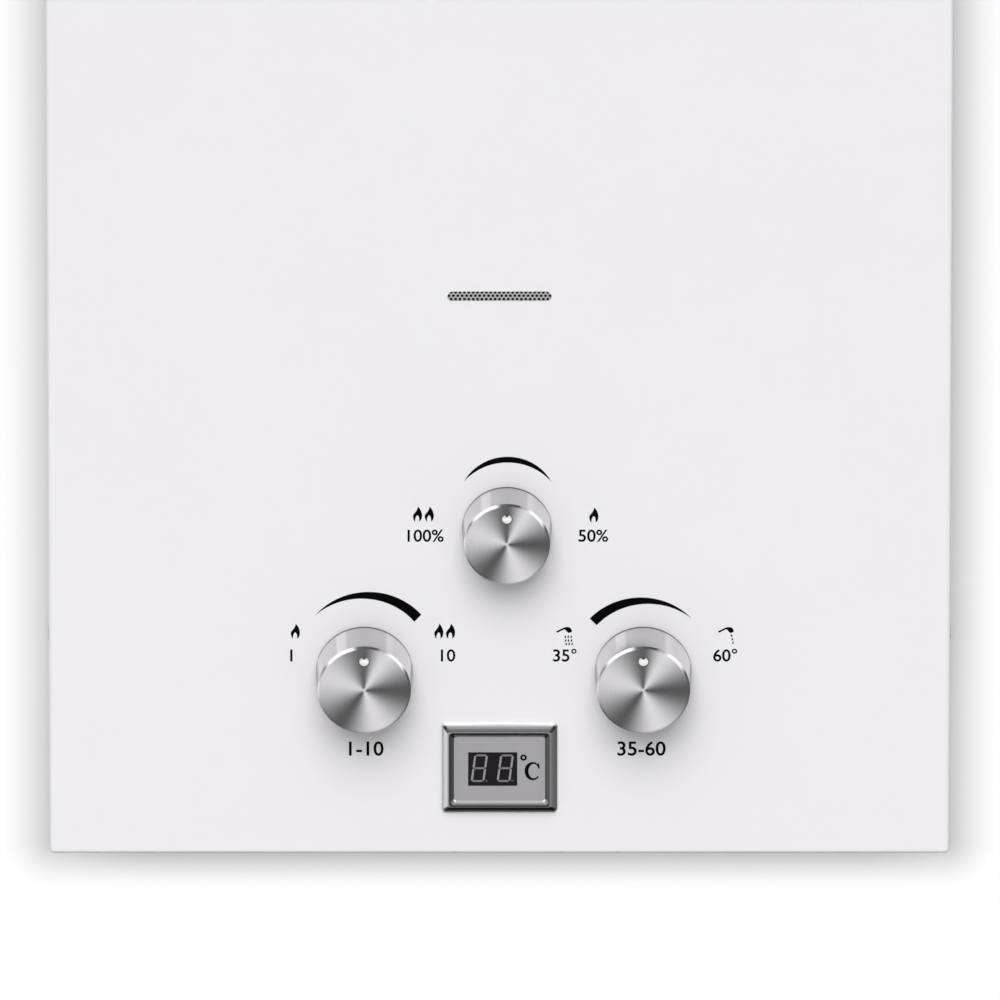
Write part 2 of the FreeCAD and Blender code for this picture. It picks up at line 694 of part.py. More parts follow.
def make_back_plate():
    """A flat back with a folded flange inside the cover, and an ear above and below for the wall screws."""
    sheet = CHASSIS_SHEET
    half = TRAY_HALF_WIDTH
    web = block((-WIDTH / 2, WIDTH / 2), (-sheet, 0), (0, HEIGHT))
    flanges = block((-half, half), (-CHASSIS_FLANGE, -sheet), (TRAY_LOW, TRAY_HIGH))
    hollow_x = (-half + sheet, half - sheet)
    flanges = flanges.cut(block(hollow_x, (-CHASSIS_FLANGE, -sheet), (TRAY_LOW + sheet, TRAY_HIGH - sheet)))
    ear_z = [(HEIGHT - 2 * EAR_CORNER_RADIUS, HEIGHT + EAR_REACH), (-EAR_REACH, 2 * EAR_CORNER_RADIUS)]
    ears = [rounded_block(span(0, EAR_WIDTH), (-sheet, 0), z, EAR_CORNER_RADIUS, Y_AXIS) for z in ear_z]
    ribs = [
        rounded_block(
            span(side * (WIDTH / 2 - RIB_INSET), RIB_WIDTH),
            (-sheet - RIB_DEPTH, -sheet),
            (RIB_END_MARGIN, HEIGHT - RIB_END_MARGIN),
            RIB_WIDTH * ROUND_END,
            Y_AXIS,
        )
        for side in (-1, 1)
    ]
    plate = web.fuse([flanges] + ears + ribs).removeSplitter()
    through = (-CHASSIS_FLANGE, OVER)
    holes = [rod_y(WALL_HOLE_RADIUS, p.x, through, p.z) for p in wall_screw_points()]
    hook_z = HEIGHT + EAR_HOLE_INSET
    holes.append(rod_y(HOOK_HOLE_RADIUS, 0, through, hook_z))
    holes.append(block(span(0, HOOK_SLOT_WIDTH), through, (hook_z, hook_z + HOOK_SLOT_REACH)))
    first_x = -BACK_SLOT_PITCH_X * (BACK_SLOT_COLUMNS - 1) / 2
    for column in range(BACK_SLOT_COLUMNS):
        for row in range(BACK_SLOT_ROWS):
            centre = Vector(first_x + column * BACK_SLOT_PITCH_X, 0, BACK_SLOT_LOW + row * BACK_SLOT_PITCH_Z)
            holes.append(stadium(BACK_SLOT_LENGTH, BACK_SLOT_WIDTH, centre, through))
    for seat, into in side_screw_seats():
        holes.append(rod(SCREW_RADIUS + SEAT_GAP, seat, seat + into * CHASSIS_FLANGE))
    return plate.cut(holes)


def battery_opening():
    """The cut in the cover's underside round the battery box and its hinge."""
    rim = BATTERY_WALL + SHEET_GAP
    x = (BATTERY_LEFT - rim, BATTERY_RIGHT + rim)
    y = (BATTERY_FRONT - rim, HINGE_Y + HINGE_BARREL_RADIUS + 2 * SHEET_GAP)
    return block(x, y, (-OVER, COVER_SHEET + OVER))


def make_front_cover():
    outside = block((-WIDTH / 2, WIDTH / 2), (FRONT, COVER_REAR), (0, HEIGHT))
    folded = [e for e in outside.Edges if min(v.Y for v in e.Vertexes) < FRONT + OVER]
    outside = outside.makeFillet(COVER_EDGE_RADIUS, folded)
    half = INSIDE_HALF_WIDTH
    inside = block((-half, half), (PANEL_BACK, COVER_REAR + OVER), (COVER_SHEET, HEIGHT - COVER_SHEET))
    folded = [e for e in inside.Edges if min(v.Y for v in e.Vertexes) < PANEL_BACK + OVER]
    inside = inside.makeFillet(COVER_EDGE_RADIUS - COVER_SHEET, folded)
    cover = outside.cut(inside)
    through = (FRONT - OVER, PANEL_BACK + OVER)
    openings = [rod_y(PANEL_HOLE_RADIUS, x, through, z) for x, z, _, _ in knob_places().values()]
    openings.append(stadium(WINDOW_LENGTH, WINDOW_WIDTH, Vector(0, 0, WINDOW_Z), through))
    spigot_width, spigot_height = spigot_size()
    gap = 2 * SEAT_GAP
    openings.append(block(span(0, spigot_width + gap), through, span(DISPLAY_Z, spigot_height + gap)))
    flue_x = span(0, COLLAR_WIDTH + 2 * FLUE_OPENING_GAP)
    flue_y = span(BURNER_CENTRE_Y, COLLAR_DEPTH + 2 * FLUE_OPENING_GAP)
    openings.append(block(flue_x, flue_y, (HEIGHT - COVER_SHEET - OVER, HEIGHT + OVER)))
    plate_x = bottom_plate_x()
    notch_x = (plate_x[0] + NOTCH_MARGIN, plate_x[1] - NOTCH_MARGIN)
    underside = (-OVER, COVER_SHEET + OVER)
    openings.append(block(notch_x, (-PLATE_DEPTH + NOTCH_MARGIN, 0), underside))
    openings.append(battery_opening())
    first_x = UNDER_SLOT_X - UNDER_SLOT_PITCH_X * (UNDER_SLOT_COLUMNS - 1) / 2
    first_y = UNDER_SLOT_Y - UNDER_SLOT_PITCH_Y * (UNDER_SLOT_ROWS - 1) / 2
    for column in range(UNDER_SLOT_COLUMNS):
        for row in range(UNDER_SLOT_ROWS):
            slot_x = span(first_x + column * UNDER_SLOT_PITCH_X, UNDER_SLOT_LENGTH)
            slot_y = span(first_y + row * UNDER_SLOT_PITCH_Y, UNDER_SLOT_WIDTH)
            openings.append(rounded_block(slot_x, slot_y, underside, UNDER_SLOT_WIDTH * ROUND_END, Z_AXIS))
    for seat, into in cover_screw_seats():
        openings.append(rod(SCREW_RADIUS + SEAT_GAP, seat - into, seat + into * SCREW_LENGTH))
    return cover.cut(openings)


def make_cabinet_screws():
    return group([screw(seat, into) for seat, into in cover_screw_seats()])


def bottom_plate_x():
    return (OUTLET_X - PLATE_MARGIN, WATER_INLET_X + PLATE_MARGIN)


def make_bottom_plate():
    plate = block(bottom_plate_x(), (-PLATE_DEPTH, -CHASSIS_SHEET - SHEET_GAP), (PLATE_LOW, PLATE_TOP))
    through = (PLATE_LOW - OVER, PLATE_TOP + OVER)
    holes = [
        rod_z(FITTING_STEM_RADIUS + SHEET_GAP, x, VALVE_AXIS_Y, through)
        for x in (OUTLET_X, GAS_INLET_X, WATER_INLET_X)
    ]
    holes.append(rod_z(DRAIN_RADIUS + SHEET_GAP, DRAIN_X, VALVE_AXIS_Y, through))
    return plate.cut(holes)


def make_window_strip():
    strip_y = (PANEL_BACK, PANEL_BACK + STRIP_SHEET)
    strip = block(
        span(0, WINDOW_LENGTH + 2 * STRIP_MARGIN), strip_y, span(WINDOW_Z, WINDOW_WIDTH + 2 * STRIP_MARGIN)
    )
    through = (strip_y[0] - OVER, strip_y[1] + OVER)
    holes = []
    for row in range(PERFORATION_ROWS):
        z = WINDOW_Z + (row - (PERFORATION_ROWS - 1) / 2) * PERFORATION_ROW_PITCH
        count = int(WINDOW_LENGTH / PERFORATION_PITCH) + row % 2
        first = -(count - 1) / 2 * PERFORATION_PITCH
        for column in range(count):
            holes.append(rod_y(PERFORATION_RADIUS, first + column * PERFORATION_PITCH, through, z))
    return strip.cut(holes)


# Knobs and spindles


def knob_places():
    """Knob name to (x, z, radius, height)."""
    return {
        "gas": (GAS_KNOB_X, SIDE_KNOB_Z, SIDE_KNOB_RADIUS, SIDE_KNOB_HEIGHT),
        "water": (WATER_KNOB_X, SIDE_KNOB_Z, SIDE_KNOB_RADIUS, SIDE_KNOB_HEIGHT),
        "season": (SEASON_KNOB_X, SEASON_KNOB_Z, SEASON_KNOB_RADIUS, SEASON_KNOB_HEIGHT),
    }


def make_knob(x, z, radius, height):
    """An aluminium cap, open at the back, with a chamfered face and an index dimple above its centre."""
    face = KNOB_BACK - height
    front_radius = radius - KNOB_TAPER
    inner_radius = front_radius - KNOB_WALL
    profile = [
        (0, face),
        (front_radius - KNOB_CHAMFER, face),
        (front_radius, face + KNOB_CHAMFER),
        (radius, KNOB_BACK),
        (inner_radius, KNOB_BACK),
        (inner_radius, face + KNOB_FACE_WALL),
        (0, face + KNOB_FACE_WALL),
    ]
    ball_radius = (DIMPLE_RADIUS**2 + DIMPLE_DEPTH**2) / (2 * DIMPLE_DEPTH)
    dimple_z = z + front_radius - DIMPLE_EDGE_DISTANCE
    dimple = Part.makeSphere(ball_radius, Vector(x, face + DIMPLE_DEPTH - ball_radius, dimple_z))
    return turned_about_y(profile, x, z).cut(dimple)


def make_knob_core(x, z, radius, height):
    """The moulded core that grips the spindle's flat."""
    front = KNOB_BACK - height + KNOB_FACE_WALL
    back = KNOB_BACK - KNOB_CORE_RECESS
    core_radius = radius - KNOB_TAPER - KNOB_WALL - RUNNING_GAP
    core = rod_y(core_radius, x, (front, back), z)
    bore = (KNOB_BACK - D_SHAFT_ENGAGEMENT - RUNNING_GAP, back + OVER)
    return core.cut(d_bar(x, z, bore, RUNNING_GAP))


def d_bar(x, z, y, growth=0.0):
    """A round bar along Y with a flat on top."""
    radius = D_SHAFT_RADIUS + growth
    flat = D_SHAFT_FLAT + growth
    bar = rod_y(radius, x, y, z)
    above = (z + flat, z + radius + OVER)
    return bar.cut(block((x - radius, x + radius), (y[0] - OVER, y[1] + OVER), above))


def make_spindle(x, z, body_front):
    """The shaft from a knob to the rotary plug in its valve body."""
    neck = PANEL_BACK + D_SHAFT_TAIL
    plug_front = body_front + PLUG_END_GAP
    shaft = d_bar(x, z, (KNOB_BACK - D_SHAFT_ENGAGEMENT, neck))
    stem = rod_y(STEM_RADIUS, x, (neck, plug_front), z)
    plug = rod_y(PLUG_RADIUS - RUNNING_GAP, x, (plug_front, plug_front + PLUG_LENGTH), z)
    return shaft.fuse([stem, plug]).removeSplitter()


def make_gland(x, z, body_front):
    front = body_front - GLAND_LENGTH
    nut = hexagon(GLAND_FLATS, Vector(x, front, z), Vector(x, body_front, z))
    return nut.cut(rod_y(STEM_RADIUS + RUNNING_GAP, x, (front - OVER, body_front + OVER), z))


def plug_bore(x, z, body_front):
    return rod_y(PLUG_RADIUS, x, (body_front - OVER, body_front + PLUG_LENGTH + 2 * PLUG_END_GAP), z)


# Temperature display


def spigot_size():
    """(width, height) of the bezel's spigot, which goes through the panel."""
    walls = 2 * (LENS_LEDGE + BEZEL_SPIGOT_WALL)
    return LENS_WIDTH + walls, LENS_HEIGHT + walls


def framed(width, height, y, centre_z=DISPLAY_Z, centre_x=0.0):
    """A box centred on the display, from its size and its (front, back)."""
    return block(span(centre_x, width), y, span(centre_z, height))


def pyramid_block(front_size, back_size, y):
    """A rectangular solid that widens towards the panel, round the display's centre."""
    wires = []
    for (width, height), level in zip((front_size, back_size), y):
        corners = [(-1, -1), (1, -1), (1, 1), (-1, 1), (-1, -1)]
        points = [Vector(i * width / 2, level, DISPLAY_Z + j * height / 2) for i, j in corners]
        wires.append(Part.makePolygon(points))
    return Part.makeLoft(wires, True, True)


def make_bezel():
    """A plated frame: a straight edge, a chamfer up to a narrow crest, and a slope down to the lens."""
    top = FRONT - BEZEL_DEPTH
    shoulder = FRONT - BEZEL_STEP
    lens_front = FRONT - LENS_RAISE
    crest = (BEZEL_WIDTH - 2 * BEZEL_BAR, BEZEL_HEIGHT - 2 * BEZEL_BAR)
    inner_crest = (crest[0] - 2 * BEZEL_CREST, crest[1] - 2 * BEZEL_CREST)
    edge = rounded_block(
        span(0, BEZEL_WIDTH), (shoulder, FRONT), span(DISPLAY_Z, BEZEL_HEIGHT), BEZEL_CORNER_RADIUS, Y_AXIS
    )
    slope = pyramid_block(crest, (BEZEL_WIDTH, BEZEL_HEIGHT), (top, shoulder))
    rounding = rounded_block(
        span(0, BEZEL_WIDTH), (top, shoulder), span(DISPLAY_Z, BEZEL_HEIGHT), BEZEL_CORNER_RADIUS, Y_AXIS
    )
    spigot_width, spigot_height = spigot_size()
    spigot = framed(spigot_width, spigot_height, (FRONT, PANEL_BACK + BEZEL_SPIGOT_LENGTH))
    bezel = edge.fuse([slope.common(rounding), spigot])
    mouth = pyramid_block(inner_crest, (LENS_WIDTH, LENS_HEIGHT), (top, lens_front))
    ledge = 2 * (LENS_LEDGE + SEAT_GAP)
    behind = PANEL_BACK + BEZEL_SPIGOT_LENGTH + OVER
    pocket = framed(LENS_WIDTH + ledge, LENS_HEIGHT + ledge, (lens_front, behind))
    return bezel.cut([mouth, pocket]).removeSplitter()


def make_lens_plate():
    """The grey plate inside the bezel, with the digits' window."""
    front = FRONT - LENS_RAISE
    plate = framed(LENS_WIDTH + 2 * LENS_LEDGE, LENS_HEIGHT + 2 * LENS_LEDGE, (front, front + LENS_SHEET))
    window = framed(
        DIGIT_WINDOW_WIDTH,
        DIGIT_WINDOW_HEIGHT,
        (front - OVER, front + LENS_SHEET + OVER),
        DISPLAY_Z + DIGIT_WINDOW_Z,
        DIGIT_WINDOW_X,
    )
    return plate.cut(window)


def make_led_module():
    front = FRONT - LENS_RAISE + DIGIT_RECESS
    return framed(
        DIGIT_WINDOW_WIDTH - 2 * SEAT_GAP,
        DIGIT_WINDOW_HEIGHT - 2 * SEAT_GAP,
        (front, front + LED_MODULE_DEPTH),
        DISPLAY_Z + DIGIT_WINDOW_Z,
        DIGIT_WINDOW_X,
    )


def board_front():
    return FRONT - LENS_RAISE + DIGIT_RECESS + LED_MODULE_DEPTH


def make_display_board():
    front = board_front()
    board = framed(LENS_WIDTH + 2 * LENS_LEDGE, LENS_HEIGHT + 2 * LENS_LEDGE, (front, front + BOARD_SHEET))
    back = front + BOARD_SHEET
    pin_y = (back, back + BOARD_PIN_LENGTH)
    pins = [
        rod_y(BOARD_PIN_RADIUS, DIGIT_WINDOW_X + column * DIGIT_WINDOW_WIDTH / 3, pin_y, DISPLAY_Z + z)
        for column in (-1, 0, 1)
        for z in (-DIGIT_WINDOW_HEIGHT / 3, DIGIT_WINDOW_HEIGHT / 3)
    ]
    return board.fuse(pins)


def make_display_housing():
    """The box behind the panel that slips over the bezel's spigot and holds the board."""
    spigot_width, spigot_height = spigot_size()
    inner_width, inner_height = spigot_width + 2 * SEAT_GAP, spigot_height + 2 * SEAT_GAP
    shelf = board_front() + BOARD_SHEET
    back = shelf + HOUSING_DEPTH
    shell = framed(inner_width + 2 * HOUSING_WALL, inner_height + 2 * HOUSING_WALL, (PANEL_BACK, back))
    mouth = framed(inner_width, inner_height, (PANEL_BACK - OVER, shelf))
    cavity = framed(LENS_WIDTH, LENS_HEIGHT, (shelf - OVER, back - HOUSING_WALL))
    return shell.cut([mouth, cavity])


# Gas valve, safety solenoid and push rod


def valve_block(x):
    """A cast block round the valves' common axis."""
    y, z = (VALVE_FRONT, VALVE_REAR), (VALVE_LOW, VALVE_TOP)
    return rounded_block(x, y, z, VALVE_EDGE_RADIUS, X_AXIS)


def make_gas_valve_body():
    body = valve_block((GAS_LEFT, GAS_RIGHT))
    y, z = VALVE_AXIS_Y, SIDE_KNOB_Z
    cuts = [
        rod_x(INLET_CHAMBER_RADIUS, (GAS_LEFT - OVER, INLET_CHAMBER_RIGHT), y, z),
        rod_x(SAFETY_SEAT_RADIUS, (INLET_CHAMBER_RIGHT - OVER, POPPET_CHAMBER_LEFT + OVER), y, z),
        rod_x(POPPET_CHAMBER_RADIUS, (POPPET_CHAMBER_LEFT, POPPET_CHAMBER_RIGHT), y, z),
        rod_x(POPPET_SEAT_RADIUS, (POPPET_CHAMBER_RIGHT - OVER, OUTLET_CHAMBER_LEFT + OVER), y, z),
        rod_x(OUTLET_CHAMBER_RADIUS, (OUTLET_CHAMBER_LEFT, OUTLET_CHAMBER_RIGHT), y, z),
        rod_x(PUSH_ROD_RADIUS + RUNNING_GAP, (OUTLET_CHAMBER_RIGHT - OVER, GAS_RIGHT + OVER), y, z),
        rod_z(GAS_PORT_RADIUS, GAS_INLET_X, y, (VALVE_LOW - OVER, z)),
        rod_z(GAS_PORT_RADIUS, GAS_OUTLET_X, y, (z, VALVE_TOP + OVER)),
        plug_bore(GAS_KNOB_X, z, VALVE_FRONT),
        rod_y(PLUG_PORT_RADIUS, GAS_KNOB_X, (VALVE_FRONT, y), z),
    ]
    return body.cut(cuts)


def make_solenoid():
    """The coil and its flange, which closes the gas valve's inlet chamber."""
    y, z = VALVE_AXIS_Y, SIDE_KNOB_Z
    flange_left = GAS_LEFT - SOLENOID_FLANGE
    flange = block((flange_left, GAS_LEFT), span(y, SOLENOID_FLANGE_SIZE), span(z, SOLENOID_FLANGE_SIZE))
    coil_left = flange_left - COIL_LENGTH
    case = rod_x(COIL_RADIUS, (coil_left, flange_left), y, z)
    bore = rod_x(PLUNGER_RADIUS + RUNNING_GAP, (coil_left + COIL_END_WALL, GAS_LEFT + OVER), y, z)
    return flange.fuse(case).cut(bore)


def make_plunger():
    """The solenoid's plunger: its disc shuts the hole between the inlet and the poppet chamber."""
    y, z = VALVE_AXIS_Y, SIDE_KNOB_Z
    disc_right = INLET_CHAMBER_RIGHT - RUNNING_GAP
    disc = rod_x(PLUNGER_DISC_RADIUS, (disc_right - PLUNGER_DISC_THICKNESS, disc_right), y, z)
    bore_left = GAS_LEFT - SOLENOID_FLANGE - COIL_LENGTH + COIL_END_WALL
    shaft = rod_x(PLUNGER_RADIUS, (bore_left + PLUNGER_TRAVEL + PLUNGER_END_GAP, disc_right), y, z)
    return disc.fuse(shaft).removeSplitter()


def make_poppet():
    right = POPPET_CHAMBER_RIGHT - RUNNING_GAP
    return rod_x(POPPET_RADIUS, (right - POPPET_THICKNESS, right), VALVE_AXIS_Y, SIDE_KNOB_Z)


def make_poppet_spring():
    wire = POPPET_SPRING_WIRE
    left = POPPET_CHAMBER_LEFT + wire + RUNNING_GAP
    right = POPPET_CHAMBER_RIGHT - RUNNING_GAP - POPPET_THICKNESS - wire - RUNNING_GAP
    start = Vector(left, VALVE_AXIS_Y, SIDE_KNOB_Z)
    return coil(POPPET_SPRING_RADIUS, wire, right - left, POPPET_SPRING_TURNS, start, X_AXIS)


def make_push_rod():
    """The rod that carries the diaphragm's push to the gas poppet, with its plate and the switch collar."""
    y, z = VALVE_AXIS_Y, SIDE_KNOB_Z
    shaft = rod_x(PUSH_ROD_RADIUS, (POPPET_CHAMBER_RIGHT - RUNNING_GAP, DIAPHRAGM_X), y, z)
    plate = rod_x(DIAPHRAGM_PLATE_RADIUS, (DIAPHRAGM_X - DIAPHRAGM_PLATE_THICKNESS, DIAPHRAGM_X), y, z)
    collar = rod_x(COLLAR_RADIUS, (COLLAR_X, COLLAR_X + COLLAR_LENGTH), y, z)
    return shaft.fuse([plate, collar]).removeSplitter()


# Water valve


def flange_screw_points():
    """Where the screws of the diaphragm flange lie, as (y, z)."""
    turns = [2 * math.pi * (i + 0.5) / FLANGE_SCREWS for i in range(FLANGE_SCREWS)]
    radius = FLANGE_SCREW_CIRCLE
    return [(VALVE_AXIS_Y + radius * math.cos(t), SIDE_KNOB_Z + radius * math.sin(t)) for t in turns]


def flange_screw_holes(x):
    return [rod_x(SCREW_RADIUS + SEAT_GAP, x, y, z) for y, z in flange_screw_points()]


def make_water_valve_cover():
    y, z = VALVE_AXIS_Y, SIDE_KNOB_Z
    cover = rod_x(DIAPHRAGM_FLANGE_RADIUS, (WATER_COVER_LEFT, DIAPHRAGM_X), y, z)
    chamber = rod_x(DIAPHRAGM_CHAMBER_RADIUS, (WATER_COVER_LEFT + WATER_COVER_WALL, DIAPHRAGM_X + OVER), y, z)
    through = (WATER_COVER_LEFT - OVER, DIAPHRAGM_X + OVER)
    bore = rod_x(PUSH_ROD_RADIUS + RUNNING_GAP, through, y, z)
    return cover.cut([chamber, bore] + flange_screw_holes(through))


def make_diaphragm():
    disc = rod_x(DIAPHRAGM_FLANGE_RADIUS, (DIAPHRAGM_X, WATER_LEFT), VALVE_AXIS_Y, SIDE_KNOB_Z)
    return disc.cut(flange_screw_holes((DIAPHRAGM_X - OVER, WATER_LEFT + OVER)))


def make_water_valve_body():
    y, z = VALVE_AXIS_Y, SIDE_KNOB_Z
    flange_right = WATER_LEFT + WATER_FLANGE_THICKNESS
    flange = rod_x(DIAPHRAGM_FLANGE_RADIUS, (WATER_LEFT, flange_right), y, z)
    body = valve_block((WATER_LEFT, WATER_RIGHT))
    chamber_radius = DIAPHRAGM_CHAMBER_RADIUS - WATER_CHAMBER_LIP
    cuts = [
        rod_x(chamber_radius, (WATER_LEFT - OVER, WATER_LEFT + WATER_CHAMBER_DEPTH), y, z),
        rod_x(THROAT_RADIUS, (WATER_LEFT, WATER_INLET_X), y, z),
        rod_x(WATER_PASSAGE_RADIUS, (WATER_INLET_X, WATER_RIGHT + OVER), y, z),
        rod_x(TUBE_RADIUS + SEAT_GAP, (WATER_RIGHT - SOCKET_DEPTH, WATER_RIGHT + OVER), y, z),
        rod_z(WATER_PASSAGE_RADIUS, WATER_INLET_X, y, (VALVE_LOW - OVER, z)),
        rod_z(DRAIN_BORE_RADIUS, DRAIN_X, y, (VALVE_LOW - OVER, z)),
        plug_bore(WATER_KNOB_X, z, VALVE_FRONT),
    ]
    cuts += flange_screw_holes((WATER_LEFT - OVER, WATER_LEFT + FLANGE_SCREW_GRIP + SEAT_GAP))
    return flange.fuse(body).cut(cuts).removeSplitter()


def make_valve_screws():
    """The screws of the diaphragm flange."""
    length = WATER_LEFT + FLANGE_SCREW_GRIP - WATER_COVER_LEFT
    seats = [Vector(WATER_COVER_LEFT, y, z) for y, z in flange_screw_points()]
    return group([screw(seat, X_AXIS, length) for seat in seats])


# Microswitch


def switch_x():
    right = SWITCH_PIVOT_X + SWITCH_OVERHANG
    return (right - SWITCH_LENGTH, right)


def make_microswitch():
    """The switch body, with two ears and the pin that its lever turns on."""
    front, rear = span(VALVE_AXIS_Y, SWITCH_DEPTH)
    body = block(switch_x(), (front, rear), (SWITCH_LOW, SWITCH_LOW + SWITCH_HEIGHT))
    ear_x = span(SWITCH_PIVOT_X, 2 * SWITCH_BARREL_RADIUS)
    ear_z = (SWITCH_PIVOT_Z - SWITCH_BARREL_RADIUS, SWITCH_LOW)
    ears = [
        block(ear_x, (front, front + SWITCH_EAR), ear_z),
        block(ear_x, (rear - SWITCH_EAR, rear), ear_z),
    ]
    pin = rod_y(SWITCH_PIN_RADIUS, SWITCH_PIVOT_X, (front, rear), SWITCH_PIVOT_Z)
    return body.fuse(ears + [pin]).removeSplitter()


def make_switch_lever():
    """The lever that hangs from the switch and rides on the push rod's collar."""
    width = SWITCH_LEVER_WIDTH
    y = span(VALVE_AXIS_Y, width)
    barrel = rod_y(SWITCH_BARREL_RADIUS, SWITCH_PIVOT_X, y, SWITCH_PIVOT_Z)
    blade = block(
        span(SWITCH_PIVOT_X, SWITCH_LEVER_SHEET), y, (COLLAR_TOP - SWITCH_LEVER_DROP, SWITCH_PIVOT_Z)
    )
    bore = rod_y(SWITCH_PIN_RADIUS + RUNNING_GAP, SWITCH_PIVOT_X, (y[0] - OVER, y[1] + OVER), SWITCH_PIVOT_Z)
    return barrel.fuse(blade).cut(bore)


def switch_bracket():
    """A bent strip from the top of the gas valve to the top of the switch."""
    sheet = SWITCH_BRACKET_SHEET
    left, right = switch_x()
    y = span(VALVE_AXIS_Y, SWITCH_BRACKET_WIDTH)
    top = SWITCH_LOW + SWITCH_HEIGHT
    roof = block((left - sheet, right), y, (top, top + sheet))
    wall = block((left - sheet, left), y, (VALVE_TOP, top + sheet))
    foot = block((GAS_RIGHT - SWITCH_BRACKET_FOOT, left), y, (VALVE_TOP, VALVE_TOP + sheet))
    return roof.fuse([wall, foot]).removeSplitter()


# Season valve, gas rail and burner


def make_season_valve():
    """The block that splits the gas between the halves of the burner, and the riser that feeds it."""
    x = span(SEASON_KNOB_X, SEASON_BODY_WIDTH)
    body_rear = SEASON_BODY_FRONT + SEASON_BODY_DEPTH
    body = block(x, (SEASON_BODY_FRONT, body_rear), (SEASON_BODY_LOW, SEASON_BODY_TOP))
    arm_left = min(x[0], GAS_OUTLET_X - RISER_RADIUS)
    arm_top = SEASON_BODY_LOW + SEASON_ARM_HEIGHT
    arm = block((arm_left, x[1]), (body_rear - OVER, VALVE_AXIS_Y + RISER_RADIUS), (SEASON_BODY_LOW, arm_top))
    riser = rod_z(RISER_RADIUS, GAS_OUTLET_X, VALVE_AXIS_Y, (VALVE_TOP, SEASON_BODY_LOW + OVER))
    middle = SEASON_BODY_LOW + SEASON_ARM_HEIGHT / 2
    cuts = [
        plug_bore(SEASON_KNOB_X, SEASON_KNOB_Z, SEASON_BODY_FRONT),
        rod_z(GAS_PORT_RADIUS, GAS_OUTLET_X, VALVE_AXIS_Y, (VALVE_TOP - OVER, middle)),
        rod_z(MANIFOLD_PORT_RADIUS, SEASON_KNOB_X, MANIFOLD_DUCT_Y, (middle, SEASON_BODY_TOP + OVER)),
    ]
    return body.fuse([arm, riser]).removeSplitter().cut(cuts)


def make_gas_manifold():
    """The rail in front of the burner, and the foot that stands on the season valve."""
    foot_x = span(SEASON_KNOB_X, MANIFOLD_FOOT_WIDTH)
    foot_rear = SEASON_BODY_FRONT + SEASON_BODY_DEPTH
    rail_z = span(MOUTH_Z, RAIL_SIZE)
    foot = block(foot_x, (RAIL_FRONT, foot_rear), (SEASON_BODY_TOP, SEASON_BODY_TOP + RAIL_SIZE))
    neck = block(foot_x, (RAIL_FRONT, RAIL_REAR), (SEASON_BODY_TOP, rail_z[1]))
    rail = block(span(0, RAIL_WIDTH), (RAIL_FRONT, RAIL_REAR), rail_z)
    rail_y = (RAIL_FRONT + RAIL_REAR) / 2
    foot_z = SEASON_BODY_TOP + RAIL_SIZE / 2
    port = MANIFOLD_PORT_RADIUS
    cuts = [
        rod_x(RAIL_SIZE / 2 - RAIL_WALL, span(0, RAIL_WIDTH - 2 * RAIL_WALL), rail_y, MOUTH_Z),
        rod_z(port, SEASON_KNOB_X, rail_y, (foot_z, MOUTH_Z)),
        rod_y(port, SEASON_KNOB_X, (rail_y, MANIFOLD_DUCT_Y), foot_z),
        rod_z(port, SEASON_KNOB_X, MANIFOLD_DUCT_Y, (SEASON_BODY_TOP - OVER, foot_z)),
    ]
    return foot.fuse([neck, rail]).removeSplitter().cut(cuts)


def bar_places():
    """The x of each burner bar."""
    first = -(BAR_COUNT - 1) / 2 * BAR_PITCH
    return [first + i * BAR_PITCH for i in range(BAR_COUNT)]


def make_injectors():
    made = []
    for x in bar_places():
        shoulder = RAIL_REAR + INJECTOR_LENGTH
        nut = hexagon(INJECTOR_FLATS, Vector(x, RAIL_REAR, MOUTH_Z), Vector(x, shoulder, MOUTH_Z))
        tip = rod_y(INJECTOR_TIP_RADIUS, x, (shoulder, shoulder + INJECTOR_TIP_LENGTH), MOUTH_Z)
        made.append(nut.fuse(tip))
    return group(made)


def make_burner_bars():
    """Each bar is a flat pressed channel with a round mouth that faces its injector."""
    made = []
    top = BURNER_TOP - BAR_TOP_MARGIN
    inside = (BURNER_FRONT + BURNER_SHEET, BURNER_REAR - BURNER_SHEET)
    mouth_front = BURNER_FRONT - MOUTH_REACH
    first_port = BURNER_CENTRE_Y - BAR_PORT_PITCH * (BAR_PORT_COUNT - 1) / 2
    port_levels = [first_port + i * BAR_PORT_PITCH for i in range(BAR_PORT_COUNT)]
    for x in bar_places():
        bar = block(span(x, BAR_WIDTH), inside, (BURNER_LOW + BURNER_SHEET, top))
        bar = bar.fuse(rod_y(MOUTH_RADIUS, x, (mouth_front, inside[0] + OVER), MOUTH_Z))
        throat = rod_y(MOUTH_RADIUS - BAR_SHEET, x, (mouth_front - OVER, inside[0] + BAR_THROAT), MOUTH_Z)
        ports = [
            block(span(x, BAR_PORT_LENGTH), span(y, BAR_PORT_WIDTH), (top - BAR_PORT_DEPTH, top + OVER))
            for y in port_levels
        ]
        made.append(bar.cut([throat] + ports))
    return group(made)


